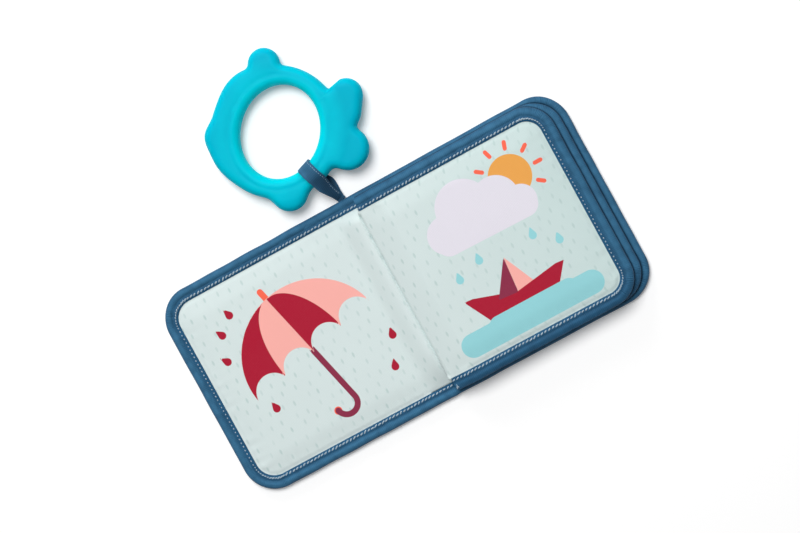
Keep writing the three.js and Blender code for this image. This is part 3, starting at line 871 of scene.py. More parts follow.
def outer_radius(angle, r):
    """The fish's outline along an angle, by halving between a point inside and one outside."""
    inside, outside = np.full_like(angle, r.body_radius / 2), np.full_like(angle, r.body_radius * 2)
    for _ in range(40):
        middle = (inside + outside) / 2
        within = fish_distance(middle * np.cos(angle), middle * np.sin(angle), r) < 0
        inside, outside = np.where(within, middle, inside), np.where(within, outside, middle)
    return inside


def hole_axes(x, y):
    """x and y as shares of the leaning oval hole's two half axes."""
    turn = math.pi / 2 - HOLE.lean
    return ((x * math.cos(turn) + y * math.sin(turn)) / HOLE.long,
            (y * math.cos(turn) - x * math.sin(turn)) / HOLE.short)


def hole_radius(angle):
    """The hole's rim along an angle from the ring's centre, where the oval's quadratic is met."""
    dx, dy = hole_axes(np.cos(angle), np.sin(angle))
    cx, cy = hole_axes(HOLE.x, HOLE.y)
    a, b, c = dx * dx + dy * dy, dx * cx + dy * cy, cx * cx + cy * cy - 1
    return (b + np.sqrt(b * b - a * c)) / a


def nearest_line(points, line):
    """The distance from each point to the nearest one of a dense closed line, a block of points at a time."""
    found = [np.sqrt(((block[:, None] - line) ** 2).sum(-1).min(1)) for block in np.array_split(points, 40)]
    return np.concatenate(found)


def ring_points(r):
    """The ring in its own frame, with its distances from the hole and from the outline.

    It runs round the outline in even steps, and across on straight ribs from the hole's rim to the outline
    and back below; the ribs start at the angle of a line inset from the outline, smoothed along it by a bell
    curve, so that they fan out in fins and tail. The half thickness rises from both edges as
    sqrt(1 - (1 - t)^3) to a flat face; a shallow groove follows the hole, and fins and tail sit a little lower
    than the body.
    """
    fine = np.linspace(0, 2 * np.pi, 2001)
    edge = outer_radius(fine, r)
    step = np.hypot(np.diff(edge), edge[1:] * np.diff(fine))
    run = np.concatenate([[0], np.cumsum(step)])
    even = np.arange(RING_STATIONS) * run[-1] / RING_STATIONS
    angle = np.interp(even, run, fine)
    rand = outer_radius(angle, r)[:, None] * np.stack([np.cos(angle), np.sin(angle)], -1)
    ahead = np.roll(rand, -1, 0) - np.roll(rand, 1, 0)
    inset = rand + RIB_INSET * ahead @ np.array([[0, 1], [-1, 0]]) / np.linalg.norm(ahead, axis=1)[:, None]
    turn = 2 * np.pi * even / run[-1]
    stray = np.fft.fft(np.unwrap(np.arctan2(inset[:, 1], inset[:, 0])) - turn)
    waves = np.fft.fftfreq(RING_STATIONS, run[-1] / RING_STATIONS)
    start = turn + np.fft.ifft(stray * np.exp(-2 * (np.pi * waves * RIB_EVENING) ** 2)).real
    share = ((1 - np.cos(np.linspace(0, np.pi, RING_STEPS))) / 2)[:, None]
    rim = hole_radius(start)[:, None] * np.stack([np.cos(start), np.sin(start)], -1)
    xy = mix(rim[:, None], rand[:, None], share)
    radius = np.hypot(xy[..., 0], xy[..., 1])
    rays = np.stack([np.cos(fine), np.sin(fine)], -1)
    from_edge = nearest_line(xy.reshape(-1, 2), rays * edge[:, None]).reshape(radius.shape)
    from_hole = nearest_line(xy.reshape(-1, 2), rays * hole_radius(fine)[:, None]).reshape(radius.shape)
    dome = np.sqrt(1 - np.clip(1 - np.minimum(from_hole, from_edge) / r.edge_round, 0, 1) ** 3)
    groove = r.rim * (0.5 * bump_at(from_hole, 3.8, 1.8) - bump_at(from_hole, 6.8, 1.5)) * ease((from_edge - 2) / 5)
    lower = 0.3 * ease((radius - r.body_radius - 0.5) / 4.5)
    z = (r.thickness / 2 - lower) * dome + groove
    z[:, [0, -1]] = 0
    top = np.concatenate([xy, z[..., None]], -1)
    low = top[:, -2:0:-1] * np.array([1, 1, -1])
    distances = [np.concatenate([d, d[:, -2:0:-1]], 1).reshape(-1) for d in (from_hole, from_edge)]
    return np.concatenate([top, low], 1), *distances


def about_z(angle):
    """The matrix that turns about z."""
    c, s = math.cos(angle), math.sin(angle)
    return np.array([[c, -s, 0], [s, c, 0], [0, 0, 1]])


def about_y(angle):
    """The matrix that turns about y."""
    c, s = math.cos(angle), math.sin(angle)
    return np.array([[c, 0, s], [0, 1, 0], [-s, 0, c]])


def joint_point(name):
    """A joint's place in book millimetres."""
    return np.array(JOINTS[name]["pos_m"]) / MM - np.array([0, PAGE_MIDDLE / MM, 0])


def ring_placed(points, r):
    """The ring hung by its grip on the loop's joint and tilted until its far end rests on the table."""
    angle = np.array([GRIP_ANGLE])
    grip = float(hole_radius(angle)[0] + outer_radius(angle, r)[0]) / 2
    pivot = joint_point("ring_pivot")
    tilt = math.asin((pivot[2] - r.thickness / 2) / (grip + r.body_radius))
    seat = about_z(LOOP_HEADING) @ about_y(tilt)
    turn = RING_TURN - LOOP_HEADING
    centre = -grip * np.array([math.cos(GRIP_ANGLE + turn), math.sin(GRIP_ANGLE + turn), 0])
    return (points @ about_z(turn).T + centre) @ seat.T + pivot


LOOP_STATIONS = 190
LOOP_STEPS = 16
LOOP_TAIL = 2.4  # how far the sewn end runs on to the tape, in mm
LOOP_PINCH = 0.62  # radius of the strap's line at its sewn end


def loop_line(r):
    """The strap's middle line, out along its lower run, round the ring and back above, as distance and height.

    Two straight runs touch a large circle round the ring and a small one at the sewn end, at the angle whose
    cosine is the difference of the radii over the distance of the centres.
    """
    root, grip = joint_point("loop_swing"), joint_point("ring_pivot")
    reach = float(np.hypot(*(grip - root)[:2]))
    large, small = grip[2] - r.loop_ply / 2 - 0.02, LOOP_PINCH
    heading = math.atan2(grip[2] - root[2], reach)
    spread = math.acos((large - small) / math.hypot(reach, grip[2] - root[2]))
    back = math.pi + heading
    arc = np.linspace(back + spread, back + 2 * math.pi - spread, 4000)
    round_x, round_z = reach + large * np.cos(arc), grip[2] + large * np.sin(arc)
    start = np.array([small * math.cos(back + spread), root[2] + small * math.sin(back + spread)])
    end = np.array([small * math.cos(back - spread), root[2] + small * math.sin(back - spread)])
    x = np.concatenate([[start[0] - LOOP_TAIL, start[0]], round_x, [end[0], end[0] - LOOP_TAIL]])
    z = np.concatenate([[start[1], start[1]], round_z, [end[1], end[1]]])
    run = np.concatenate([[0], np.cumsum(np.hypot(np.diff(x), np.diff(z)))])
    s = np.linspace(0, run[-1], LOOP_STATIONS)
    return s, np.interp(s, run, x), np.interp(s, run, z), reach


def strap_points(r):
    """The strap: its line carried across its width. It narrows to the sewn end, cups along its length and rolls
    to one side on the way down, the upper run more than the lower, which lies a little to the right."""
    s, x, z, reach = loop_line(r)
    share = s / s[-1]
    near = 1 - ease((x - 1) / (reach - 9))
    upper = ease((share - 0.45) / 0.1)
    width = mix(r.loop_width, r.loop_root_width, near)
    tangent = np.stack([np.gradient(x, s), np.gradient(z, s)], -1)
    tangent /= np.linalg.norm(tangent, axis=1)[:, None]
    out = np.stack([tangent[:, 1], -tangent[:, 0]], -1)
    mid = np.sin(np.pi * np.clip((x + 1) / (reach - 3), 0, 1))
    roll = np.radians(mix(-14, 30, upper)) * mid * ease((reach - 4 - x) / 8)
    shift = mix(-1.5, 0.5, upper) * mid * ease((reach - 2 - x) / 8)
    w = np.linspace(-0.5, 0.5, LOOP_STEPS)
    cup = (0.9 * near * (1 - 4 * w[:, None] ** 2) - 0.3 * near).T * ease((x + 2) / 4)[:, None]
    across = w * width[:, None] * np.cos(roll)[:, None] + shift[:, None]
    lift = w * width[:, None] * np.sin(roll)[:, None] + cup
    faces = []
    for ply in (0.5, -0.5):
        rise = lift + ply * r.loop_ply
        faces.append(np.stack([x[:, None] + out[:, :1] * rise, across, z[:, None] + out[:, 1:] * rise], -1))
    faces[0][..., 2] = np.maximum(faces[0][..., 2], 0.05)
    faces[1][..., 2] = np.maximum(faces[1][..., 2], 0.25)
    root = joint_point("loop_swing") * np.array([1, 1, 0])
    outer, inner = (f @ about_z(LOOP_HEADING).T + root for f in faces)
    uv = np.stack(np.broadcast_arrays(s[:, None], w * r.loop_width + 30), -1).reshape(-1, 2)
    return outer, inner, np.concatenate([uv, uv])


def strap_stitches(outer, inner):
    """Fine stitches along one edge of the strap's outer face, from where it leaves the table to its sewn end."""
    draw = np.random.default_rng(7)
    row = np.arange(LOOP_STATIONS // 3, LOOP_STATIONS - 14, 4)
    column = np.full(row.size, 2)
    centre = outer[row, column] + draw.normal(0, 0.04, (row.size, 3))
    along = outer[row + 1, column] - outer[row - 1, column]
    up = outer[row, column] - inner[row, column]
    along, up = (v / np.linalg.norm(v, axis=1)[:, None] for v in (along, up))
    return thread_bits(centre, along, np.cross(up, along), up, draw.uniform(1.1, 1.5, row.size), 0.3)


# Materials

def node(tree, kind, values=None, links=None, **settings):
    """Adds one shader node by its kind: settings are its own options, values fill its sockets, links feed them."""
    made = tree.nodes.new("ShaderNode" + kind)
    for key, value in settings.items():
        setattr(made, key, value)
    for key, value in (values or {}).items():
        made.inputs[key].default_value = value
    for key, source in (links or {}).items():
        tree.links.new(source, made.inputs[key])
    return made


def blank(name, **values):
    """A new material with a Principled shader whose constant sockets are set here."""
    made = bpy.data.materials.new(name)
    made.use_nodes = True
    shader = made.node_tree.nodes["Principled BSDF"]
    for key, value in values.items():
        shader.inputs[key.replace("_", " ").title().replace("Ior", "IOR")].default_value = value
    return made, made.node_tree, shader


def dash_mask(tree, uv):
    """Rain dashes: a staggered grid of cells, each with one upright dash, at random moved a little and fainter."""
    pitch, row, wide, tall = 8.6, 7.4, 0.85, 2.1
    cells = node(tree, "VectorMath", {1: (1 / pitch, 1 / row, 0)}, {0: uv}, operation="MULTIPLY")
    split = node(tree, "SeparateXYZ", links={0: cells.outputs[0]})
    line = node(tree, "Math", links={0: split.outputs[1]}, operation="FLOOR")
    stagger = node(tree, "Math", {1: 0.47}, {0: line.outputs[0]}, operation="MULTIPLY")
    across = node(tree, "Math", links={0: split.outputs[0], 1: stagger.outputs[0]}, operation="ADD")
    column = node(tree, "Math", links={0: across.outputs[0]}, operation="FLOOR")
    cell = node(tree, "CombineXYZ", links={0: column.outputs[0], 1: line.outputs[0]})
    stray = node(tree, "TexWhiteNoise", links={"Vector": cell.outputs[0]}, noise_dimensions="2D")
    place = node(tree, "CombineXYZ", links={0: across.outputs[0], 1: split.outputs[1]})
    part = node(tree, "VectorMath", links={0: place.outputs[0]}, operation="FRACTION")
    strays = node(tree, "VectorMath", {1: (0.36, 0.42, 0), 2: (-0.68, -0.71, 0)},
                  {0: stray.outputs["Color"]}, operation="MULTIPLY_ADD")
    off = node(tree, "VectorMath", links={0: part.outputs[0], 1: strays.outputs[0]}, operation="ADD")
    shape = node(tree, "VectorMath", {1: (pitch / wide, row / tall, 0)}, {0: off.outputs[0]},
                 operation="MULTIPLY")
    reach = node(tree, "VectorMath", links={0: shape.outputs[0]}, operation="LENGTH")
    dash = node(tree, "MapRange", {1: 0.45, 2: 1.15, 3: 1.0, 4: 0.0}, {0: reach.outputs["Value"]}, **SMOOTH)
    faint = node(tree, "MapRange", {3: 0.35, 4: 1.0}, {0: stray.outputs["Value"]})
    return node(tree, "Math", links={0: dash.outputs[0], 1: faint.outputs[0]}, operation="MULTIPLY").outputs[0]


def weave_height(tree, uv, pitch):
    """Plain weave: warp and weft as two sets of bands at right angles, in mm along the cloth."""
    bands = [
        node(tree, "TexWave", {"Scale": WAVE_PERIOD / pitch, "Distortion": 0.6, "Detail": 1.0},
             {"Vector": uv}, bands_direction=axis).outputs["Fac"]
        for axis in ("X", "Y")
    ]
    return node(tree, "Math", links={0: bands[0], 1: bands[1]}, operation="MULTIPLY").outputs[0]


def tinted(tree, base, mask, tint, amount):
    """A colour mixed towards another by a mask times an amount."""
    share = node(tree, "Math", {1: amount}, {0: mask}, operation="MULTIPLY")
    return node(tree, "Mix", {7: tint}, {0: share.outputs[0], 6: base}, data_type="RGBA").outputs[2]


def printed_cloth(name, ground, inks):
    """Printed polyester cloth: smooth and matt, a fine weave, inks that lie flat in it with crisp edges,
    and a faint unevenness of the dye; on right pages the ground is painted darker towards the fore-edge as painted
    shade. The weave is drawn coarser than its real 0.3 mm so that it shows."""
    made, tree, shader = blank(
        name, roughness=0.72, specular_ior_level=0.15, sheen_weight=0.02, sheen_roughness=0.5)
    uv = node(tree, "TexCoord").outputs["UV"]
    dashes = dash_mask(tree, uv)
    # Painted shade: right pages darken out to the fore-edge.
    tone = node(tree, "Attribute", attribute_name="tone").outputs["Fac"]
    hue = node(tree, "Mix", {6: paint(ground), 7: paint("ground_deep")}, {0: tone}, data_type="RGBA").outputs[2]
    hue = tinted(tree, hue, dashes, paint("dash"), 0.62)
    for ink in inks:
        field = node(tree, "Attribute", attribute_name=f"ink_{ink}").outputs["Fac"]
        cover = node(tree, "MapRange", {1: -0.16, 2: 0.16, 3: 1.0, 4: 0.0}, {0: field}, **SMOOTH).outputs[0]
        hue = tinted(tree, hue, cover, paint(ink), 1.0)
    dye = node(tree, "TexNoise", {"Scale": 1 / 34, "Detail": 3.0}, {"Vector": uv}).outputs["Fac"]
    hue = tinted(tree, hue, dye, paint("dye_shade"), 0.04)
    weave = weave_height(tree, uv, 0.9)
    hue = tinted(tree, hue, weave, paint("weave_shade"), 0.05)
    tree.links.new(hue, shader.inputs["Base Color"])
    grain = node(tree, "TexNoise", {"Scale": 1 / 1.6, "Detail": 4.0}, {"Vector": uv}).outputs["Fac"]
    rough = node(tree, "MapRange", {1: 0.3, 2: 0.7, 3: 0.62, 4: 0.8}, {0: grain}).outputs[0]
    tree.links.new(rough, shader.inputs["Roughness"])
    low = node(tree, "Bump", {"Strength": 0.25, "Distance": 0.0002}, {"Height": grain})
    high = node(tree, "Bump", {"Strength": 0.2, "Distance": 0.0002}, {"Height": weave, "Normal": low.outputs[0]})
    tree.links.new(high.outputs[0], shader.inputs["Normal"])
    return made


def tape_cloth(name):
    """Woven polyester binding tape: fine ribs across it and a random darker tone. The roll is painted lighter,
    partly as wear and partly as painted highlight, and less so on a leaf's lower edge as painted shade. The groove
    by the stitches, the tape where a leaf above covers it, and the strap away from its fold are painted darker as
    painted shade. The ribs are drawn at 1.1 mm, coarser than the real 0.6 mm, so that they show."""
    made, tree, shader = blank(name, roughness=0.7, specular_ior_level=0.2, sheen_weight=0.1, sheen_roughness=0.4)
    uv = node(tree, "TexCoord").outputs["UV"]
    depth = node(tree, "Attribute", attribute_name="depth").outputs["Fac"]
    noise = node(tree, "TexNoise", {"Scale": 1 / 7.0, "Detail": 4.0}, {"Vector": uv}).outputs["Fac"]
    # Painted highlight, partly wear: the roll is lightened out from its edge to the groove.
    crown = node(tree, "MapRange", {1: -0.6, 2: 2.0, 3: 0.0, 4: 1.0}, {0: depth}, **SMOOTH).outputs[0]
    fall = node(tree, "MapRange", {1: 3.6, 2: 6.6, 3: 1.0, 4: 0.0}, {0: depth}, **SMOOTH).outputs[0]
    worn = node(tree, "Attribute", attribute_name="worn").outputs["Fac"]
    wear_and_highlight = crown
    for part in (fall, noise, worn):
        wear_and_highlight = node(tree, "Math", links={0: wear_and_highlight, 1: part}, operation="MULTIPLY").outputs[0]
    base = node(tree, "Mix", {6: paint("tape_dark"), 7: paint("tape")},
                {0: node(tree, "MapRange", {1: 0.25, 2: 0.62, 3: 0.55, 4: 1.0}, {0: noise}).outputs[0]},
                data_type="RGBA").outputs[2]
    hue = tinted(tree, base, wear_and_highlight, paint("tape_worn"), 0.8)
    # Painted shade in the groove beside the stitches.
    off = node(tree, "Math", {1: -GROOVE}, {0: depth}, operation="ADD")
    away = node(tree, "Math", links={0: off.outputs[0]}, operation="ABSOLUTE")
    groove = node(tree, "MapRange", {1: 0.1, 2: 1.3, 3: 1.0, 4: 0.0}, {0: away.outputs[0]}, **SMOOTH).outputs[0]
    hue = tinted(tree, hue, groove, paint("tape_dark"), 0.15)
    # Painted shade where a leaf above covers the tape, and along the strap.
    tucked = node(tree, "Attribute", attribute_name="tucked").outputs["Fac"]
    hue = tinted(tree, hue, tucked, paint("tape_dark"), 0.85)
    ribs = node(
        tree, "TexWave", {"Scale": WAVE_PERIOD / 1.1, "Distortion": 1.2, "Detail": 2.0, "Detail Scale": 0.6},
        {"Vector": uv}).outputs["Fac"]
    hue = tinted(tree, hue, ribs, paint("tape_worn"), 0.14)
    tree.links.new(hue, shader.inputs["Base Color"])
    low = node(tree, "Bump", {"Strength": 0.4, "Distance": 0.0004}, {"Height": noise})
    high = node(tree, "Bump", {"Strength": 0.35, "Distance": 0.0003},
                {"Height": ribs, "Normal": low.outputs[0]})
    tree.links.new(high.outputs[0], shader.inputs["Normal"])
    return made


def sewing_thread(name):
    """Spun polyester thread: pale and slightly glossy, with a twist drawn at 0.7 mm so that it shows."""
    made, tree, shader = blank(name, roughness=0.5, ior=1.5, sheen_weight=0.2)
    place = node(tree, "TexCoord").outputs["Object"]
    twist = node(tree, "TexWave", {"Scale": WAVE_PERIOD / (0.7 * MM), "Distortion": 1.0},
                 {"Vector": place}, bands_direction="DIAGONAL").outputs["Fac"]
    hue = node(tree, "Mix", {6: paint("thread"), 7: paint("tape_worn")},
               {0: node(tree, "Math", {1: 0.3}, {0: twist}, operation="MULTIPLY").outputs[0]},
               data_type="RGBA").outputs[2]
    tree.links.new(hue, shader.inputs["Base Color"])
    bump = node(tree, "Bump", {"Strength": 0.4, "Distance": 0.0002}, {"Height": twist})
    tree.links.new(bump.outputs[0], shader.inputs["Normal"])
    return made


def pad_foam(name):
    """Open-cell polyether foam: cream, dull, with cells of about 0.8 mm."""
    made, tree, shader = blank(name, roughness=0.95, ior=1.4)
    place = node(tree, "TexCoord").outputs["Object"]
    cells = node(tree, "TexVoronoi", {"Scale": 1 / (0.8 * MM)}, {"Vector": place}).outputs["Distance"]
    shade = node(tree, "Math", {1: 0.35}, {0: cells}, operation="MULTIPLY").outputs[0]
    hue = node(tree, "Mix", {6: paint("foam"), 7: paint("foam_cell")}, {0: shade},
               data_type="RGBA").outputs[2]
    tree.links.new(hue, shader.inputs["Base Color"])
    bump = node(tree, "Bump", {"Strength": 0.6, "Distance": 0.0005}, {"Height": cells})
    tree.links.new(bump.outputs[0], shader.inputs["Normal"])
    return made


def ring_silicone(name):
    """Moulded silicone rubber: satin and slightly translucent, with a very fine moulded grain that breaks up the
    gloss.
    A lighter colour is painted along the hole's rim as a painted glow, fins and tail are tinted deeper away from
    the hole, and a thin band at the outer edge is painted deeper as painted shade."""
    made, tree, shader = blank(name, roughness=0.42, ior=1.41, specular_ior_level=0.04, subsurface_weight=0.7,
                               subsurface_scale=0.008, subsurface_radius=(0.15, 0.9, 1.0))
    place = node(tree, "TexCoord").outputs["Object"]
    cloud = node(tree, "TexNoise", {"Scale": 1 / (22 * MM), "Detail": 3.0}, {"Vector": place}).outputs["Fac"]
    hue = node(tree, "Mix", {6: paint("silicone"), 7: paint("silicone_deep")}, {0: cloud},
               data_type="RGBA").outputs[2]
    # A painted glow round the hole, deeper tones in fins and tail, and painted shade at the outer edge.
    for field, near, far, first, last, tint, amount in (
        ("from_hole", 0.5, 6.5, 1.0, 0.0, "silicone_glow", 0.6),
        ("from_hole", 9.0, 20.0, 0.0, 1.0, "silicone_deep", 0.9),
        ("from_edge", 0.0, 2.4, 1.0, 0.0, "silicone_deep", 0.7),
    ):
        away = node(tree, "Attribute", attribute_name=field).outputs["Fac"]
        mask = node(tree, "MapRange", {1: near, 2: far, 3: first, 4: last}, {0: away}, **SMOOTH).outputs[0]
        hue = tinted(tree, hue, mask, paint(tint), amount)
    tree.links.new(hue, shader.inputs["Base Color"])
    grain = node(tree, "TexNoise", {"Scale": 1 / (1.3 * MM), "Detail": 4.0}, {"Vector": place}).outputs["Fac"]
    rough = node(tree, "MapRange", {1: 0.3, 2: 0.7, 3: 0.36, 4: 0.5}, {0: grain}).outputs[0]
    tree.links.new(rough, shader.inputs["Roughness"])
    bump = node(tree, "Bump", {"Strength": 0.06, "Distance": 0.0003}, {"Height": grain})
    tree.links.new(bump.outputs[0], shader.inputs["Normal"])
    return made


def studio_paper(name):
    """White paper sweep: matt, and seen by the camera and in reflections a little lighter than it is lit,
    so that it reads white round the object and keeps the shadow."""
    made, tree, shader = blank(name, base_color=paint("paper"), roughness=0.95, specular_ior_level=0.1)
    path = node(tree, "LightPath")
    seen = path.outputs["Is Camera Ray"]
    for ray in ("Is Glossy Ray", "Is Transmission Ray"):
        seen = node(tree, "Math", links={0: seen, 1: path.outputs[ray]}, operation="MAXIMUM").outputs[0]
    lift = node(tree, "Math", {1: 0.18}, {0: seen}, operation="MULTIPLY")
    glow = node(tree, "Emission", links={"Strength": lift.outputs[0]})
    both = node(tree, "AddShader", links={0: shader.outputs[0], 1: glow.outputs[0]})
    tree.links.new(both.outputs[0], tree.nodes["Material Output"].inputs["Surface"])
    return made


FINISHES = {
    "printed_polyester": lambda name: printed_cloth(name, "ground", INKS),
    "cover_polyester": lambda name: printed_cloth(name, "cover", ()),
    "woven_binding_tape": tape_cloth,
    "spun_thread": sewing_thread,
    "open_cell_foam": pad_foam,
    "moulded_silicone": ring_silicone,
    "studio_paper": studio_paper,
}


def finish(name):
    """A finish by name, made the first time it is asked for."""
    return bpy.data.materials.get(name) or FINISHES[name](name)


# Operators

CAMERA_LENS, CAMERA_SENSOR = 92.74, 36.0
CAMERA_PLACE = (150.7, 33.8, 1266.6)  # in book millimetres
CAMERA_TURN = (-3.82, 5.35, -28.9)  # in degrees
STAGE_MIDDLE = (0.0, -0.02, 0.0)
LAMPS = (  # name, place, size and power
    ("softbox", (0.0, 1.08, 2.37), 1.5, 59.5),
    ("strip", (0.0, 2.42, 0.90), 1.2, 16.0),
)
WORLD_LIGHT = 0.17
FLOOR_HALF, FLOOR_LEVEL, FLOOR_LINES = 2500.0, -0.25, 9  # half width and height in mm, and lines each way
FOAM_ROOM, FOAM_INSET = 0.25, 0.3  # between foam and cloth, and from the cloth's edge to the foam's
SPINE_ARCH, SPINE_SINK = 2.9, 0.9  # the cover cloth's height at the spine, and how much lower it is off the tape
ROOT_TURN = (3.0, 0.4)  # x from which a leaf's page would stop turning with it, and where it would keep to what is below; listed with the pages' bodies, but not read, as those pages are baked in place


class BATHBOOK_OT_stage(bpy.types.Operator):
    """Camera, lights, white floor and white surroundings"""
    bl_idname = "bath_book.stage"
    bl_label = "Stage"

    def execute(self, context):
        scene = context.scene
        scene.view_settings.view_transform = "Standard"
        eye = bpy.data.cameras.new("photo_camera")
        eye.lens, eye.sensor_width, eye.sensor_fit = CAMERA_LENS, CAMERA_SENSOR, "HORIZONTAL"
        eye.clip_end = 20
        camera = bpy.data.objects.new("photo_camera", eye)
        camera.location = to_row(np.array(CAMERA_PLACE))
        camera.rotation_euler = [math.radians(turn) for turn in CAMERA_TURN]
        scene.collection.objects.link(camera)
        scene.camera = camera
        for name, place, size, power in LAMPS:
            lamp = bpy.data.lights.new(name, "AREA")
            lamp.shape, lamp.size, lamp.energy = "DISK", size, power
            holder = bpy.data.objects.new(name, lamp)
            holder.location = place
            aim = np.array(STAGE_MIDDLE) - np.array(place)
            flat = math.hypot(aim[0], aim[1])
            holder.rotation_euler = (math.atan2(flat, -aim[2]), 0, math.atan2(aim[1], aim[0]) - math.pi / 2)
            scene.collection.objects.link(holder)
        world = bpy.data.worlds.new("studio_white")
        world.use_nodes = True
        tree = world.node_tree
        path = node(tree, "LightPath")
        level = node(tree, "MapRange", {3: WORLD_LIGHT, 4: 1.0}, {0: path.outputs["Is Camera Ray"]})
        tree.links.new(level.outputs[0], tree.nodes["Background"].inputs["Strength"])
        tree.nodes["Background"].inputs["Color"].default_value = (1.0, 1.0, 1.0, 1.0)
        scene.world = world
        ways = np.linspace(-FLOOR_HALF, FLOOR_HALF, FLOOR_LINES)
        x, y = np.meshgrid(ways, ways)
        points = np.stack([x, y, np.full(x.shape, FLOOR_LEVEL)], -1).reshape(-1, 3)
        floor = add_piece("floor", points, net(FLOOR_LINES, FLOOR_LINES), finish("studio_paper"))
        floor.data.flip_normals()
        return {"FINISHED"}


class BATHBOOK_OT_foam_pads(bpy.types.Operator):
    """The four foam pads inside the covers and leaves"""
    bl_idname = "bath_book.foam_pads"
    bl_label = "Foam pads"

    def execute(self, context):
        m, held = in_mm("bath_book_sizes"), panels()
        for node_name, panel, side, setback, body in (
            ("front_foam", held.cover, -1, 0.4, "front_cover"),
            ("back_foam", held.cover, 1, 0.4, "back_cover"),
            ("leaf_1_foam", held.leaf_1, 1, 7.0, "leaf_1"),
            ("leaf_2_foam", held.leaf_2, 1, 7.0, "leaf_2"),
        ):
            y = np.linspace(-1, 1, 70)[:, None] * (panel.height / 2 - m.sheet_inset - FOAM_INSET)
            x = mix(panel.inner + setback, panel.fore(y, m.sheet_inset + FOAM_INSET), np.linspace(0, 1, 70))
            y = np.broadcast_to(y, x.shape)
            dip = SEAM_PULL * bump_at(panel.depth(x, y), m.tape_face, 2.5)
            core = np.maximum(panel.face(x, y) - m.sheet - FOAM_ROOM - dip, 0.1)
            top = panel.middle(x) + core
            if node_name == "leaf_1_foam":
                top = np.minimum(top, open_climb(panel, x, y) - m.sheet - 0.4)
            top = np.stack([side * x, y, top], -1)
            low = np.stack([side * x, y, panel.middle(x) - core], -1)
            points, quads = shell(top, low)
            piece = add_piece(f"{node_name}_pad", points, quads, finish("open_cell_foam"), "pad_foam")
            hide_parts(node_name)
            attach(piece, body)
        return {"FINISHED"}


class BATHBOOK_OT_cover_cloth(bpy.types.Operator):
    """The outside cloth, in one piece over front cover, spine and back cover"""
    bl_idname = "bath_book.cover_cloth"
    bl_label = "Cover cloth"

    def execute(self, context):
        m, cover = in_mm("bath_book_sizes"), panels().cover
        y = np.linspace(-1, 1, 120)[:, None] * (cover.height / 2 - m.sheet_inset)
        x = np.linspace(-1, 1, 241) * cover.fore(y, m.sheet_inset)
        y = np.broadcast_to(y, x.shape)
        out = np.abs(x)
        level = cover.middle(out) - cover.face(out, y) + 0.05 * ease(out / 30) * np.abs(swell(x, y, 40, 77))
        arch = SPINE_ARCH - SPINE_SINK * cover.inside(m.spine_half + 0 * out, y)
        z = mix(arch, level, ease((out - 1.5) / 11))
        outer = np.stack([x, y, z], -1)
        points, quads = shell(outer, outer + np.array([0, 0, m.sheet]))
        uv = points[:, :2]
        piece = add_piece("cover_cloth", points, quads, finish("cover_polyester"), "cover_cloth", uv)
        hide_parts("front_cover_sheet", "spine_sheet", "back_cover_sheet")
        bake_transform(piece)
        return {"FINISHED"}


class BATHBOOK_OT_pages(bpy.types.Operator):
    """The six printed page faces"""
    bl_idname = "bath_book.pages"
    bl_label = "Pages"

    def execute(self, context):
        m, held = in_mm("bath_book_sizes"), panels()
        meet_2 = (m.leaf_1_root + m.leaf_2_root) / 2
        meet_3 = m.leaf_2_root - m.pinched / 2 - 0.8
        made = (
            ("page_1_left", front_page(held.cover, 11), umbrella_print, ("spread_1_left", "spread_1_fold"),
             "front_foam_pad", ("back_cover", "front_cover", m.spine_half, -m.spine_half)),
            ("page_1_right", open_page(held.leaf_1, 21), boat_print, ("spread_1_right",),
             "leaf_1_foam_pad", ("leaf_1", "leaf_2", *ROOT_TURN)),
            ("page_2_left", leaf_page(held.leaf_1, -1, meet_2, 31), ball_print, ("spread_2_left",),
             "leaf_1_foam_pad", ("leaf_1", "leaf_2", *ROOT_TURN)),
            ("page_2_right", leaf_page(held.leaf_2, 1, meet_2, 41), kite_print, ("spread_2_right",),
             "leaf_2_foam_pad", "leaf_2"),
            ("page_3_left", leaf_page(held.leaf_2, -1, meet_3, 51), flower_print, ("spread_3_left",),
             "leaf_2_foam_pad", ("leaf_2", "back_cover", *ROOT_TURN)),
            ("page_3_right", back_page(held.cover, 61), hill_print, ("spread_3_right",),
             "back_foam_pad", "back_cover"),
        )
        for name, (outer, inner), motif, nodes, pad, moves in made:
            points, quads = shell(outer, inner)
            uv = cloth_uv(outer)
            fields = ink_fields(points, motif)
            # Painted shade share: 0 at the fold line to 1 at the fore-edge, on right pages only.
            fields["tone"] = np.clip(points[:, 0] / m.cover_reach, 0, 1) * name.endswith("right")
            piece = add_piece(name, points, quads, finish("printed_polyester"), "printed_cloth", uv, fields)
            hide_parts(*nodes)
            if isinstance(moves, str):
                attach(piece, moves)
            else:
                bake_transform(piece)
        return {"FINISHED"}


class BATHBOOK_OT_bindings(bpy.types.Operator):
    """The folded binding tapes and their topstitching"""
    bl_idname = "bath_book.bindings"
    bl_label = "Bindings and stitches"

    def execute(self, context):
        m, held = in_mm("bath_book_sizes"), panels()
        for name, panel, above, nodes, seed in (
            ("cover", held.cover, held.leaf_2,
             ("front_binding", "back_binding", "spine_binding_top", "spine_binding_bottom"), 101),
            ("leaf_1", held.leaf_1, None, ("leaf_1_binding",), 111),
            ("leaf_2", held.leaf_2, held.leaf_1, ("leaf_2_binding",), 121),
        ):
            line = TapeLine(panel, name == "cover")
            points, quads, uv, fields = tape_shell(line, m, seed, above)
            tape = add_piece(
                f"{name}_tape", points, quads, finish("woven_binding_tape"), "binding_tape", uv, fields)
            points, quads = topstitching(line, m, seed + 5)
            if name == "leaf_1":
                tack, more = end_tack(line, m)
                quads, points = np.concatenate([quads, more + len(points)]), np.concatenate([points, tack])
            thread = add_piece(f"{name}_stitches", points, quads, finish("spun_thread"))
            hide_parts(*nodes)
            for piece in (tape, thread):
                if name == "cover":
                    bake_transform(piece)
                else:
                    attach(piece, name)
        return {"FINISHED"}


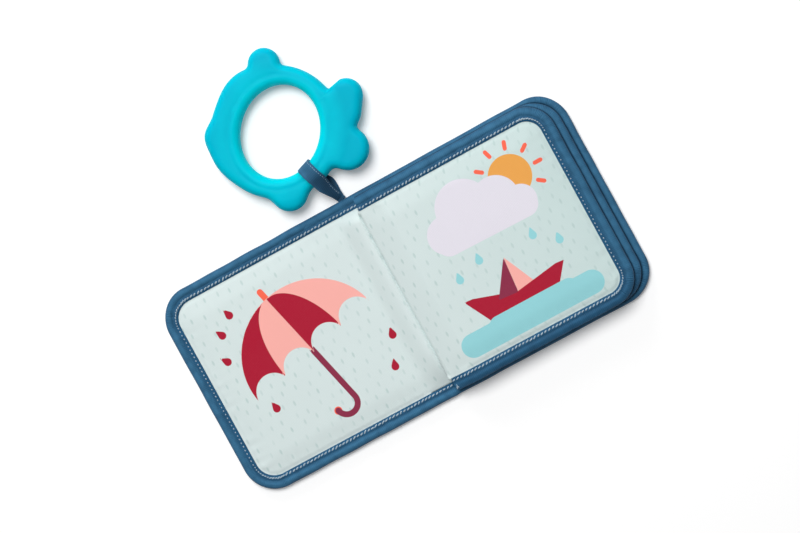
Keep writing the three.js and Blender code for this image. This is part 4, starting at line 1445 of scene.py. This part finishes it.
class BATHBOOK_OT_hanging_loop(bpy.types.Operator):
    """The cloth strap that holds the ring, with its edge stitches"""
    bl_idname = "bath_book.hanging_loop"
    bl_label = "Hanging loop"

    def execute(self, context):
        r = in_mm("bath_book_ring")
        outer, inner, uv = strap_points(r)
        points, quads = shell(outer, inner)
        share = np.linspace(0, 1, LOOP_STATIONS)[:, None]
        across = np.linspace(-1, 1, LOOP_STEPS)
        held_open = bump_at(share, 0.55, 0.16)
        # Painted light on the strap: where it is held open over the ring its edges get the tape's painted highlight
        # through a made-up depth, and elsewhere it is painted darker as shade, a little less at its edges.
        fields = {
            "depth": GROOVE - 2.4 * held_open * across ** 2,
            "tucked": (1 - held_open) * (1 - 0.5 * across ** 4),
            "worn": np.ones((LOOP_STATIONS, LOOP_STEPS)),
        }
        fields = {key: np.tile(values.reshape(-1), 2) for key, values in fields.items()}
        strap = add_piece("loop_strap", points, quads, finish("woven_binding_tape"), "binding_tape", uv, fields)
        thread = add_piece("loop_stitches", *strap_stitches(outer, inner), finish("spun_thread"))
        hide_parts("hanging_loop")
        for piece in (strap, thread):
            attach(piece, "loop")
        return {"FINISHED"}


class BATHBOOK_OT_teether_ring(bpy.types.Operator):
    """The fish-shaped silicone teething ring"""
    bl_idname = "bath_book.teether_ring"
    bl_label = "Teething ring"

    def execute(self, context):
        r = in_mm("bath_book_ring")
        points, from_hole, from_edge = ring_points(r)
        stations, count = points.shape[:2]
        placed = ring_placed(points.reshape(-1, 3), r)
        piece = add_piece("silicone_ring", placed, net(stations, count, True, True), finish("moulded_silicone"),
                          "ring_silicone", None, {"from_hole": from_hole, "from_edge": from_edge})
        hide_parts("teether_ring")
        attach(piece, "ring")
        return {"FINISHED"}


OPERATORS = (
    BATHBOOK_OT_stage,
    BATHBOOK_OT_foam_pads,
    BATHBOOK_OT_cover_cloth,
    BATHBOOK_OT_pages,
    BATHBOOK_OT_bindings,
    BATHBOOK_OT_teether_ring,
    BATHBOOK_OT_hanging_loop,
)


class BATHBOOK_PT_panel(bpy.types.Panel):
    """The book's operators, sizes and colours"""
    bl_idname = "BATHBOOK_PT_panel"
    bl_label = "Bath Book"
    bl_space_type = "VIEW_3D"
    bl_region_type = "UI"
    bl_category = "Bath Book"

    def draw(self, context):
        for operator in OPERATORS:
            self.layout.operator(operator.bl_idname)
        for name, group in GROUPS.items():
            box = self.layout.box()
            for key in group.__annotations__:
                box.prop(getattr(context.scene, name), key)


CLASSES = (*GROUPS.values(), *OPERATORS, BATHBOOK_PT_panel)


def register():
    for each in CLASSES:
        bpy.utils.register_class(each)
    for name, group in GROUPS.items():
        setattr(bpy.types.Scene, name, bpy.props.PointerProperty(type=group))


def unregister():
    for name in GROUPS:
        delattr(bpy.types.Scene, name)
    for each in reversed(CLASSES):
        bpy.utils.unregister_class(each)


def main():
    register()
    for operator in OPERATORS:
        getattr(bpy.ops.bath_book, operator.bl_idname.split(".")[1])()


if __name__ == "__main__":
    main()
